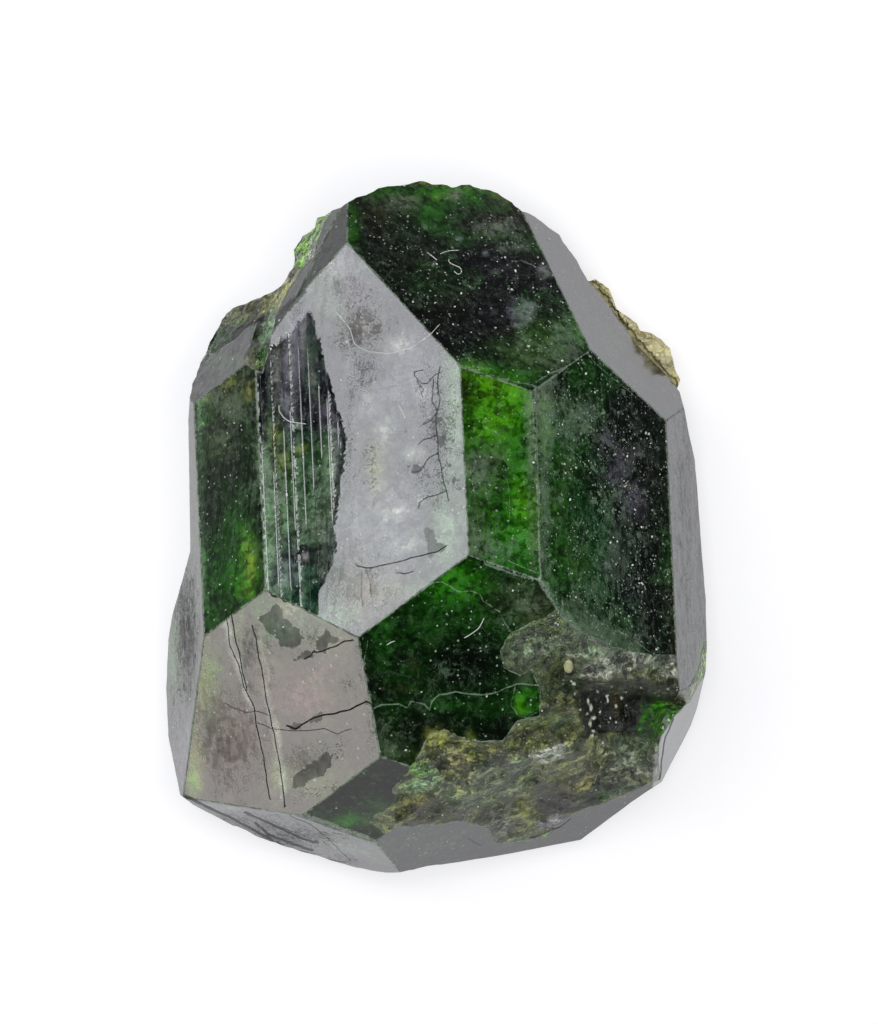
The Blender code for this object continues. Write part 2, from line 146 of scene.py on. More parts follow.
# The broken upper left flank, beyond the band of face that is left there
FLANK_EDGE = drawn("""
    186,379 193,374 222,347 245,330 256,326 250,345 244,358 252,368 262,372 268,350 272,332 276,317 282,301
    290,287 298,275 305,265 314,256 317,240 322,226 333,208 346,198 330,190 280,220 262,270 200,300 180,350
""")
FLANK_STEP = drawn("""
    200,362,.12 222,338,.16 244,322,.2 258,335,.2 258,355,.15 266,330,.25 261,311,.3 272,300,.28
    283,284,.24 294,267,.24 303,251,.22 307,238,.26 318,222,.2 334,204,.2
""")
FLANK_FOOT = drawn("""
    205,345,.3 216,325,.4 226,308,.55 251,296,.55 272,288,.5 280,280,.45 290,264,.45 291,248,.6 300,236,.55
    312,225,.5 316,215,.45 330,206,.4
""")

# The ragged top end, rough in its outline and colours alone
TOP_EDGE = drawn("""
    346,198 372,208 392,202 415,206 440,214 462,206 480,210 500,214 519,209 530,190 480,165 400,165 340,180
""")

# The rind of matrix lies in a recess of the crystal's underside, at the upper right
CRUST_EDGE = drawn("""
    591,281 596,279 609,288 613,298 617,309 624,314 631,319 637,323 640,330 652,333 661,339 670,348 673,358
    675,369 680.5,380 676,392 660,420 620,400 590,360 566,310 570,280
""")
RECESS_MARGIN = 0.60
RECESS_HEIGHT = 0.62

# The broken underside rises to its rim over the slope's width, and is flat within the rest's radius
RIM_HEIGHT = 0.50
UNDERSIDE_SLOPE = 2.2
REST_RADIUS = 1.9

# How far apart the mesh's points are on the faces, in the breaks, underneath and along the edges
FACE_GRAIN = 0.055
BREAK_GRAIN = 0.036
UNDERSIDE_GRAIN = 0.16
LINE_STEP = 0.06

# Growth striations, on the left half of the front face: each is a tread, a narrow crest and a riser, and
# CRESTS has the two ends of each crest
STRIATED = drawn("""
    240,360 246,430 250,500 254,590 285,604 318,616 320,590 330,570 336,549 334,525 339,500 343,463 346,439
    341,420 334,396 323,359 316,330 310,311 300,318 286,335 262,352
""")
STRIATION_FALL = 0.030
TREAD_WIDTH = 0.2
CREST_WIDTH = 0.022
RISER_WIDTH = 0.012
CRESTS = drawn("""
    264,440 267,598 274,470 279,588 284,426 291,590 290,406 296,532 298,345 307,528 308,346 314,490
    318,383 323,460 327,396 333,524 337,418 340,446 348,430 350,431
""")

# Open cracks and healed fissures: width, depth, how dark (below 0) or pale they look, and their line
CRACKS = """
    .022 .03 -1 226,612 230,646 239,666 244,687 254,707 257,729 263,756 266,774 270,798
    .024 .03 -1 231,612 236,642 240,654 243,674 247,690
    .024 .03 -1 252,625 256,640 261,666 265,691 269,711 273,729 278,756 282,780 285,805
    .03 .03 -1 305,659 311,656 314,650 317,652 325,650 336,646 344,642 351,641
    .035 .05 -1 288,726 295,729 303,724 315,718 323,715 338,713 350,710 366,701 372,704
    .016 .01 -.7 225,703 231,707 246,712 256,711 268,715
    .016 .01 -.7 258,723 270,728 287,730 307,731 323,729 338,734 350,729
    .022 .03 -1 356,565 364,568 372,568 380,566 390,564 398,562 410,558 424,555 437,552 446,546
    .02 .02 -1 398,573 404,574 412,571
    .014 .004 -.5 366,568 370,580 371,596
    .05 .001 .8 433,583 442,582 450,586 457,591 473,591 480,594 483,601 491,606 500,612 505,623 511,630
    .06 .001 1 372,708 381,705 400,704 407,708 411,702 424,704 430,710 431,702 439,695 457,692 480,695
      495,693 517,684 540,685
    .12 .001 .9 484,563 502,570 512,573 528,578 538,580 544,589 551,600 560,614 570,624 584,634 604,649
      616,658
    .04 .001 .8 515,686 512,698 511,706 518,716 528,717 540,711 541,699 538,687
    .08 .001 .9 537,381 545,376 557,371 570,364 588,353
    .1 .001 .95 535,386 536,420 537,450 538,500 539,545 540,576
    .018 .006 -.6 440,372 436,374 431,379 427,383 422,383 418,380 414,375 414,372 418,371 423,370
    .02 .006 -.6 433,378 433,388 433,396 432,402 435,406 436,412 434,416 431,420 424,424
    .02 .008 -.7 440,368 437,382 438,390 440,398 439,408 436,414 436,424 437,432 438,441 438,450 440,462
      442,472 444,484 446,490 448,500
    .018 .006 -.6 417,381 420,385 424,389 421,394 423,398
    .02 .006 -.5 436,435 430,438 424,440 419,444
    .02 .006 -.6 436,454 430,457 426,461 423,466 419,471 413,472
    .022 .006 -.5 446,490 440,493 434,496 426,498 420,502 418,508
    .014 .004 -.5 436,422 430,419 425,423 421,427
    .07 .02 -1 245,812 262,820 280,828 300,838 318,843
    .03 .02 -1 258,818 275,825 296,833
    .09 .02 -1 256,823 268,834 290,843 312,850
    .022 .02 -1 290,815 310,824 325,836 338,848 350,860
    .09 .02 -1 186,797 210,808 235,820 262,834 290,850 330,862
    .03 .02 -1 300,850 322,858 345,862
    .03 .02 -1 530,838 546,833 560,826 570,818
    .02 .01 -1 468,838 475,843 482,846
    .02 .01 -1 594,655 606,670 620,672 640,676
    .03 .001 .8 560,440 575,452 590,470 604,490
    .03 .001 .7 470,470 476,500 478,530
    .03 .001 .7 500,440 506,470 510,500 508,530
    .03 .001 .8 618,630 634,640 650,652
    .05 .04 -1 673,719 666,736 662,757 660,778
    .06 .001 .8 466,366 500,378 536,386
    .04 .001 .7 360,634 368,640 364,660 370,690 374,720 378,745
    .03 .001 .7 590,356 594,362 610,376 640,400
    .03 .001 .9 556,395 575,404 596,420
    .03 .001 .8 560,402 580,420 598,434
    .03 .001 .7 520,260 545,270 575,282
    .05 .012 .9 594,784 598,773 608,762 622,756
    .05 .012 .9 614,751 626,752 636,757 641,770
    .04 .01 .8 619,737 636,740 649,746 657,762
    .04 .01 .8 568,772 584,768 592,756
    .05 .01 .8 552,650 572,652 590,660 611,667
    .05 .001 .9 508,560 520,566 534,572
    .03 .001 .8 560,640 566,628 580,622
    .13 .03 -1 213,352 222,345 234,337 248,325 264,317
    .03 .001 .8 345,568 346,590 346,622
    .03 .001 .8 354,556 354,584 355,616
    .03 .001 .8 337,572 338,600
    .02 .003 -.6 362,572 361,586 362,604
    .016 .003 -.5 372,576 371,592
"""


def unit(h, k, l):
    """The direction of the crystal's indices, one unit long."""
    return Vector((h, k, l)).normalized()


cubic_axes = Matrix((unit(-1, 2, -1), unit(1, 1, 1), unit(1, 0, -1)))
turn = (
    Matrix.Rotation(LEAN_LEFT, 3, "Z") @ Matrix.Rotation(LEAN_BACK, 3, "X")
    @ Matrix.Rotation(TURN_ABOUT_LENGTH, 3, "Y") @ cubic_axes
)
long_axis = turn @ unit(1, 1, 1)
face_names = list(FACES)
face_normals = np.array([turn @ unit(*index) for index, _ in FACES.values()])
face_distances = np.array([distance for _, distance in FACES.values()])


def face_heights(x, y):
    """How high each face's plane is over points of the table, one row for each face."""
    nx, ny, nz = (column[:, None] for column in face_normals.T)
    return CENTRE_HEIGHT + (face_distances[:, None] - nx * x - ny * y) / nz


def facet_edges():
    """The straight edges between the faces, seen from above: each face's region, cut from a square."""
    def over(i, j, point):
        """How far the plane of face j is above that of face i, at a point of the table."""
        heights = face_heights(np.array([point[0]]), np.array([point[1]]))[:, 0]
        return heights[j] - heights[i]

    edges = []
    far = 9  # well outside the crystal
    for i in range(len(face_names)):
        corners = [(-far, -far), (far, -far), (far, far), (-far, far)]
        beyond = [-1] * 4
        for j in range(len(face_names)):
            if j == i or not corners:
                continue
            room = [over(i, j, corner) for corner in corners]
            kept, kept_beyond = [], []
            for k, corner in enumerate(corners):
                after = (k + 1) % len(corners)
                if room[k] >= 0:
                    kept.append(corner)
                    kept_beyond.append(beyond[k])
                if (room[k] >= 0) != (room[after] >= 0):
                    t = room[k] / (room[k] - room[after])
                    kept.append(tuple(a + (b - a) * t for a, b in zip(corner, corners[after])))
                    kept_beyond.append(j if room[k] >= 0 else beyond[k])
            corners, beyond = kept, kept_beyond
        edges += [[corners[k], corners[(k + 1) % len(corners)]] for k, j in enumerate(beyond) if j > i]
    return edges


def legs(line, closed):
    """The straight pieces of a line, with the one back to its start where it is closed."""
    return zip(line, line[1:] + line[:1] if closed else line[1:])


def evenly(line, step, closed=False, waver=0.0, seed=0.0):
    """Points every step or so along a line, moved a little where it wavers."""
    points = []
    for (ax, ay), (bx, by) in legs(line, closed):
        count = max(1, round(math.dist((ax, ay), (bx, by)) / step))
        points += [(ax + (bx - ax) * k / count, ay + (by - ay) * k / count) for k in range(count)]
    if not closed:
        points.append(line[-1])
    if waver:
        shifts = [noise.noise_vector(Vector((x * 5, y * 5, seed))) * waver for x, y in points]
        points = [(x + s.x, y + s.y) for (x, y), s in zip(points, shifts)]
    return points


def inside(outline, x, y):
    """Whether each point is inside an outline: a ray from it crosses the outline an odd number of times."""
    odd = np.zeros(x.shape, bool)
    for (ax, ay), (bx, by) in legs(outline, True):
        if ax != bx:
            odd ^= ((ax > x) != (bx > x)) & (y < ay + (by - ay) * (x - ax) / (bx - ax))
    return odd


def line_distance(line, x, y, closed=False):
    """The distance from each point to the nearest place on a line."""
    nearest = np.full(x.shape, 1e9)
    for (ax, ay), (bx, by) in legs(line, closed):
        dx, dy = bx - ax, by - ay
        along = np.clip(((x - ax) * dx + (y - ay) * dy) / (dx * dx + dy * dy), 0, 1)
        nearest = np.minimum(nearest, np.hypot(x - ax - along * dx, y - ay - along * dy))
    return nearest


def depth_inside(outline, x, y):
    """How far inside an outline each point is, or below 0 outside it."""
    far = line_distance(outline, x, y, True)
    return np.where(inside(outline, x, y), far, -far)


def around(line, x, y, margin):
    """Which points are near enough to a line to matter."""
    xs, ys = np.array([p[:2] for p in line]).T
    across = (x > xs.min() - margin) & (x < xs.max() + margin)
    return np.flatnonzero(across & (y > ys.min() - margin) & (y < ys.max() + margin))


def beside(line, distance):
    """A line moved sideways by a distance."""
    moved = []
    for i, (x, y) in enumerate(line):
        before, after = line[max(0, i - 1)], line[min(len(line) - 1, i + 1)]
        length = math.dist(before, after) or 1
        across, up = after[0] - before[0], after[1] - before[1]
        moved.append((x - up / length * distance, y + across / length * distance))
    return moved


def rough(x, y, size, seed, octaves=3, stretch=1.0):
    """Smooth lumps between about -1 and 1 over points of the table."""
    wide = size * stretch
    return np.array([noise.fractal((a / wide, b / size, seed), 0.9, 2.1, octaves) for a, b in zip(x, y)])


def triangulate(outline, lines, loose):
    """A flat mesh inside an outline that keeps the given lines as edges, anticlockwise from above."""
    places, edges = [], []
    for line, closed in [(outline, True), *lines]:
        first, count = len(places), len(line)
        places += line
        edges += [(first + k, first + (k + 1) % count) for k in range(count if closed else count - 1)]
    result = geometry.delaunay_2d_cdt([Vector(p) for p in places + loose], edges, [], 0, 1e-5)
    flat = np.array([tuple(p) for p in result[0]])
    a, b, c = (flat[list(corner)] for corner in zip(*result[2]))
    turning = (b[:, 0] - a[:, 0]) * (c[:, 1] - a[:, 1]) - (b[:, 1] - a[:, 1]) * (c[:, 0] - a[:, 0])
    middle = (a + b + c) / 3
    kept = inside(outline, middle[:, 0], middle[:, 1]) & (abs(turning) > 1e-9)
    triangles = np.array(result[2])
    triangles[turning < 0] = triangles[turning < 0][:, ::-1]
    return flat, triangles[kept], [ids[0] if ids else -1 for ids in result[3]]


def boundary(triangles):
    """The edges that only one triangle has, in its direction."""
    directed = set()
    for a, b, c in triangles.tolist():
        directed.update(((a, b), (b, c), (c, a)))
    return [(a, b) for a, b in directed if (b, a) not in directed]


def scatter(outline, spacing, taken, seed=3.7):
    """Points of a jittered lattice inside an outline, clear of the points already taken."""
    xs, ys = np.array(outline).T
    rows = int((ys.max() - ys.min()) / (spacing * 0.87)) + 1
    columns = int((xs.max() - xs.min()) / spacing) + 1
    row, column = np.mgrid[0:rows, 0:columns]
    jitter = np.random.default_rng(int(seed * 10)).uniform(-0.25, 0.25, (2, rows, columns)) * spacing
    x = (xs.min() + spacing * (column + 0.5 * (row % 2)) + jitter[0]).ravel()
    y = (ys.min() + spacing * 0.87 * row + jitter[1]).ravel()
    kept = inside(outline, x, y)
    return [
        (a, b) for a, b in zip(x[kept].tolist(), y[kept].tolist())
        if taken.find((a, b, 0))[2] > spacing * 0.45
    ]


def tree_of(points):
    """The points, sorted for finding the nearest one."""
    tree = kdtree.KDTree(len(points))
    for i, (x, y) in enumerate(points):
        tree.insert((x, y, 0), i)
    tree.balance()
    return tree


class Break:
    """A rough break through the faces: its edge on them, and inner points with their depth."""

    def __init__(self, edge, inner, seed, waver=0.03):
        self.edge = evenly(edge, LINE_STEP, True, waver, seed)
        self.seed = seed
        places = [(x, y) for x, y, _ in inner]
        self.flat, self.triangles, came_from = triangulate(self.edge, [], places)
        depths = [0.0] * len(self.edge) + [depth for _, _, depth in inner]
        self.depths = [depths[i] if i >= 0 else 0.0 for i in came_from]

    def depth(self, x, y):
        """The depth under the missing faces, read between the given points."""
        depth = np.zeros(x.shape)
        for a, b, c in self.triangles:
            (ax, ay), (bx, by), (cx, cy) = self.flat[a], self.flat[b], self.flat[c]
            whole = (bx - ax) * (cy - ay) - (by - ay) * (cx - ax)
            u = ((bx - x) * (cy - y) - (by - y) * (cx - x)) / whole
            v = ((cx - x) * (ay - y) - (cy - y) * (ax - x)) / whole
            within = (u > -1e-9) & (v > -1e-9) & (u + v < 1 + 1e-9)
            here = u * self.depths[a] + v * self.depths[b] + (1 - u - v) * self.depths[c]
            depth[within] = here[within]
        return depth


corner = Break(CORNER_EDGE, LEDGE_TOP + LEDGE_BROW + LEDGE_FOOT + POCKET + SPUR + FOOT_SLOPE, 11.0)
flank = Break(FLANK_EDGE, FLANK_STEP + FLANK_FOOT, 21.0, 0.02)
top_end = Break(TOP_EDGE, [], 33.0)
breaks = [corner, flank, top_end]


def unevenness(x, y):
    """How far the outline strays: most at the broken flank and top end, hardly where faces reach it."""
    if y > 6.3 or x < -1.5 and y > 2.6:
        return 0.09
    if y > 3.2 or y < -6.0 and x < 0:
        return 0.05
    return 0.012


outline = evenly(RIM, 0.09, closed=True)
rim = []
for i, (x, y) in enumerate(outline):
    (ax, ay), (bx, by) = outline[i - 2], outline[(i + 2) % len(outline)]
    length = math.dist((ax, ay), (bx, by))
    inward = unevenness(x, y) * (0.5 + 0.5 * noise.fractal((x * 3.1, y * 3.1, 5.0), 0.8, 2.1, 3))
    inward = max(0.0, inward)
    rim.append((x + (by - ay) / length * inward, y - (bx - ax) / length * inward))

cracks = []
for i, (*numbers, line) in enumerate(entries(CRACKS)):
    cracks.append((evenly(line, 0.05, waver=0.02, seed=i), *map(float, numbers)))

# The crests run along the crystal's length: each has its place across it and its lower and upper end
lean = long_axis.x / long_axis.y
crests = []
for (ax, ay), (bx, by) in zip(CRESTS[::2], CRESTS[1::2]):
    across = (ax + bx) / 2 - lean * (ay + by) / 2 + (CREST_WIDTH + RISER_WIDTH) / 2
    crests.append((across, by, ay))
crests.sort()
stria_starts = np.array([across for across, _, _ in crests])


def stria_line(across):
    """A line along the crystal's length, over the whole striated strip."""
    return evenly([(across + lean * 4.6, 4.6), (across - lean * 2.0, -2.0)], 0.08)


kept_lines = [(evenly(edge, LINE_STEP), False) for edge in facet_edges()]
kept_lines += [(b.edge, True) for b in breaks]
for ledge in (LEDGE_BROW, LEDGE_FOOT):
    kept_lines.append((evenly([(x, y) for x, y, _ in ledge], 0.05, waver=0.03, seed=4.0), False))
for line, width, _, _ in cracks:
    kept_lines += [(line, False), (beside(line, width / 2), False), (beside(line, -width / 2), False)]
for start in stria_starts:
    crest_end = start - RISER_WIDTH
    kept_lines += [(stria_line(across), False) for across in (start, crest_end, crest_end - CREST_WIDTH)]

# Loose points fill the mesh between the kept lines, closest together in the breaks
kept_points = rim + [p for line, _ in kept_lines for p in line]
near_kept = tree_of(kept_points)
loose = []
for b in breaks:
    loose += scatter(b.edge, BREAK_GRAIN, near_kept)
loose += scatter(rim, FACE_GRAIN, tree_of(kept_points + loose))
flat, triangles, _ = triangulate(rim, kept_lines, loose)


def striation_relief(x, y):
    """How far the striated strip stands under the front face: treads, thin crests and risers."""
    edge = line_distance(STRIATED, x, y, True)
    share = np.where(inside(STRIATED, x, y), np.clip(edge / 0.05, 0, 1), 0)
    across = x - lean * y
    position = np.minimum(np.searchsorted(stria_starts, across - 1e-6), len(crests) - 1)
    width = np.concatenate([[TREAD_WIDTH], np.diff(stria_starts)])[position]
    start = stria_starts[position] - width
    low, high = np.array([[low, high] for _, low, high in crests])[position].T
    present = np.clip(np.minimum(y - low, high - y) / 0.1, 0, 1)
    t = (across - start) / width
    crest = 1 - (CREST_WIDTH * present + RISER_WIDTH) / width
    riser = 1 - RISER_WIDTH / width
    rise = np.where(t < crest, t / crest, np.where(t < riser, 1.0, np.clip((1 - t) / (1 - riser), 0, 1)))
    return (1 - rise) * STRIATION_FALL * share * np.clip(width / TREAD_WIDTH, 0.4, 1.2)


# The breaks' relief: the size and depth of their lumps and fibres, and the rise of the flank's steps
LUMP_SIZE = 0.55
LUMP_DEPTH = 0.16
FIBRE_SIZE = 0.16
FIBRE_DEPTH = 0.085
STEP_RISE = 0.26


def top_height(x, y):
    """The height of the crystal's upper side: the lowest face, less the striations, cracks and breaks."""
    heights = face_heights(x, y)
    z = heights.min(axis=0)
    on_front = heights.argmin(axis=0) == 0
    z = z - np.where(on_front, striation_relief(x, y), 0)
    for line, width, depth, _ in cracks:
        here = around(line, x, y, width)
        z[here] -= depth * np.clip(1 - line_distance(line, x[here], y[here]) / (width / 2), 0, 1)
    for b in (corner, flank):
        depth = b.depth(x, y)
        broken = depth > 1e-4
        bx, by, bd = x[broken], y[broken], depth[broken]
        lumps = rough(bx, by, LUMP_SIZE, b.seed) * LUMP_DEPTH * np.minimum(1, bd / 0.3)
        fibres = rough(bx, by, FIBRE_SIZE, b.seed + 1, 4, 1.8) * FIBRE_DEPTH * np.minimum(1, bd / 0.12)
        z[broken] = z[broken] - np.maximum(0.0, bd - lumps - fibres)
        if b is flank:
            steps = z[broken] / STEP_RISE + 0.9 * rough(bx, by, 0.5, 51.0, 2)
            part = steps % 1
            tread = np.where(part < 0.7, 0.2 * part, 0.14 + (part - 0.7) * 0.86 / 0.3)
            z[broken] += (tread - part) * STEP_RISE * np.clip(bd / 0.1, 0, 1)
    return z


top_z = top_height(flat[:, 0], flat[:, 1])

# The rim's wall goes down from the upper side's boundary to the underside, a little inward and rough
following = dict(boundary(triangles))
loop = [next(iter(following))]
while following[loop[-1]] != loop[0]:
    loop.append(following[loop[-1]])
loop = np.array(loop)


def pushed_out(line, distance):
    """A closed line moved outward at its corners."""
    moved = []
    for i, (x, y) in enumerate(line):
        before, after = line[i - 1], line[(i + 1) % len(line)]
        along = Vector((after[0] - before[0], after[1] - before[1])).normalized()
        moved.append((x - along.y * distance, y + along.x * distance))
    return moved


recess = pushed_out(CRUST_EDGE, RECESS_MARGIN)


def underside_height(x, y, to_rim):
    """The broken underside: flat where the crystal rests, rough and rising towards the rim."""
    near_rim = np.clip(1 - to_rim / UNDERSIDE_SLOPE, 0, 1)
    from_middle = np.clip(np.hypot(x, y) / REST_RADIUS - 1, 0, 1)
    bumps = (0.45 * rough(x, y, 1.6, 9.0) + 0.10 * rough(x, y, 0.3, 2.0)) * from_middle
    low = np.maximum(0, RIM_HEIGHT * near_rim ** 1.5 + bumps * (1 - near_rim))
    low = np.minimum(RIM_HEIGHT + 0.06, low)
    from_recess = np.where(inside(recess, x, y), 0, line_distance(recess, x, y, True))
    in_recess = np.clip(1 - from_recess / 0.2, 0, 1)
    return low + (RECESS_HEIGHT + 0.1 * abs(rough(x, y, 0.8, 5.0)) - low) * in_recess


WALL_ROWS = 10
ring = flat[loop]
count = len(loop)
smooth = [ring[(np.arange(count) + k) % count] for k in (-4, 4)]
along = smooth[1] - smooth[0]
along /= np.hypot(along[:, 0], along[:, 1])[:, None]
inward = np.stack([-along[:, 1], along[:, 0]], axis=1)
foot = underside_height(ring[:, 0], ring[:, 1], np.zeros(count))
tall = top_z[loop] - foot
places = [np.column_stack([flat, top_z])]
rings = [loop]
total = len(flat)
for row in range(1, WALL_ROWS + 1):
    share = row / WALL_ROWS
    drop = tall * share
    z = top_z[loop] - drop
    bumps = [noise.fractal((a * 2.2, b * 2.2, c * 2.2), 0.9, 2.1, 3) for (a, b), c in zip(ring, z)]
    depth = 0.10 + 0.09 * np.clip(np.array(bumps), -1, 1)
    inset = np.minimum(1, drop / 0.35) * depth * np.clip(tall / 0.6, 0.5, 1.6)
    places.append(np.column_stack([ring + inward * inset[:, None], z]))
    rings.append(np.arange(total, total + count))
    total += count
wall = []
for upper, lower in zip(rings, rings[1:]):
    for k in range(count):
        n = (k + 1) % count
        wall += [(upper[k], lower[k], lower[n]), (upper[k], lower[n], upper[n])]

bottom_ring = [tuple(p) for p in places[-1][:, :2].tolist()]
inner_bottom = scatter(bottom_ring, UNDERSIDE_GRAIN, tree_of(bottom_ring), 8.1)
bottom_flat, bottom_triangles, came_from = triangulate(bottom_ring, [], inner_bottom)
bottom_ids = np.array([rings[-1][i] if 0 <= i < count else -1 for i in came_from])
fresh = bottom_ids < 0
bottom_ids[fresh] = total + np.arange(fresh.sum())
bottom_x, bottom_y = bottom_flat[fresh].T
bottom_z = underside_height(bottom_x, bottom_y, line_distance(bottom_ring, bottom_x, bottom_y, True))
places.append(np.column_stack([bottom_x, bottom_y, bottom_z]))
places = np.concatenate(places)
bottom = bottom_ids[bottom_triangles][:, ::-1]
shell = np.concatenate([triangles, np.array(wall), bottom])
used, shell = np.unique(shell, return_inverse=True)
places, shell = places[used], shell.reshape(-1, 3)

# What shows at each place, read at the corners of the triangles so that a face's look ends at its edge.
# Inks are the colours that show under the faces, in red, green and blue from 0 to 255, except mirrored
# lilac, which is painted reflection: the lilac grey that the faces mirror. A layer of ink is either an
# outline, with how strongly it covers, or soft spots: middle, half width and height, strength.
# The bright, vivid and lime greens are the stone's own green made brighter by painted light: the glow of
# light that comes through it along its rims and off cracks inside it
INKS = {
    "black": (9, 12, 7), "deep": (16, 36, 12), "green": (34, 84, 20), "bright": (48, 120, 14),
    "vivid": (92, 160, 22), "lime": (130, 175, 70), "teal": (18, 66, 48), "moss": (62, 82, 42),
    "olive": (98, 100, 58), "brown": (84, 66, 38), "umber": (44, 38, 24), "tan": (138, 132, 96),
    "ash": (112, 122, 104), "grey": (108, 110, 108), "mint": (136, 170, 136), "white": (200, 204, 192),
    "lilac": (150, 142, 168), "dusk": (26, 26, 38), "cream": (222, 218, 184), "rose": (120, 88, 84),
    "straw": (150, 150, 70), "dark_olive": (40, 46, 14), "pewter": (158, 160, 152),
}
INK_GAIN = 1.75
GROUND = {
    "front_striated": "dusk", "front_green": "green", "front_right": "deep", "front_left": "deep",
    "top_dark": "black", "window": "deep", "cracked": "umber", "side_left": "umber",
    "low_grey": "black",
}
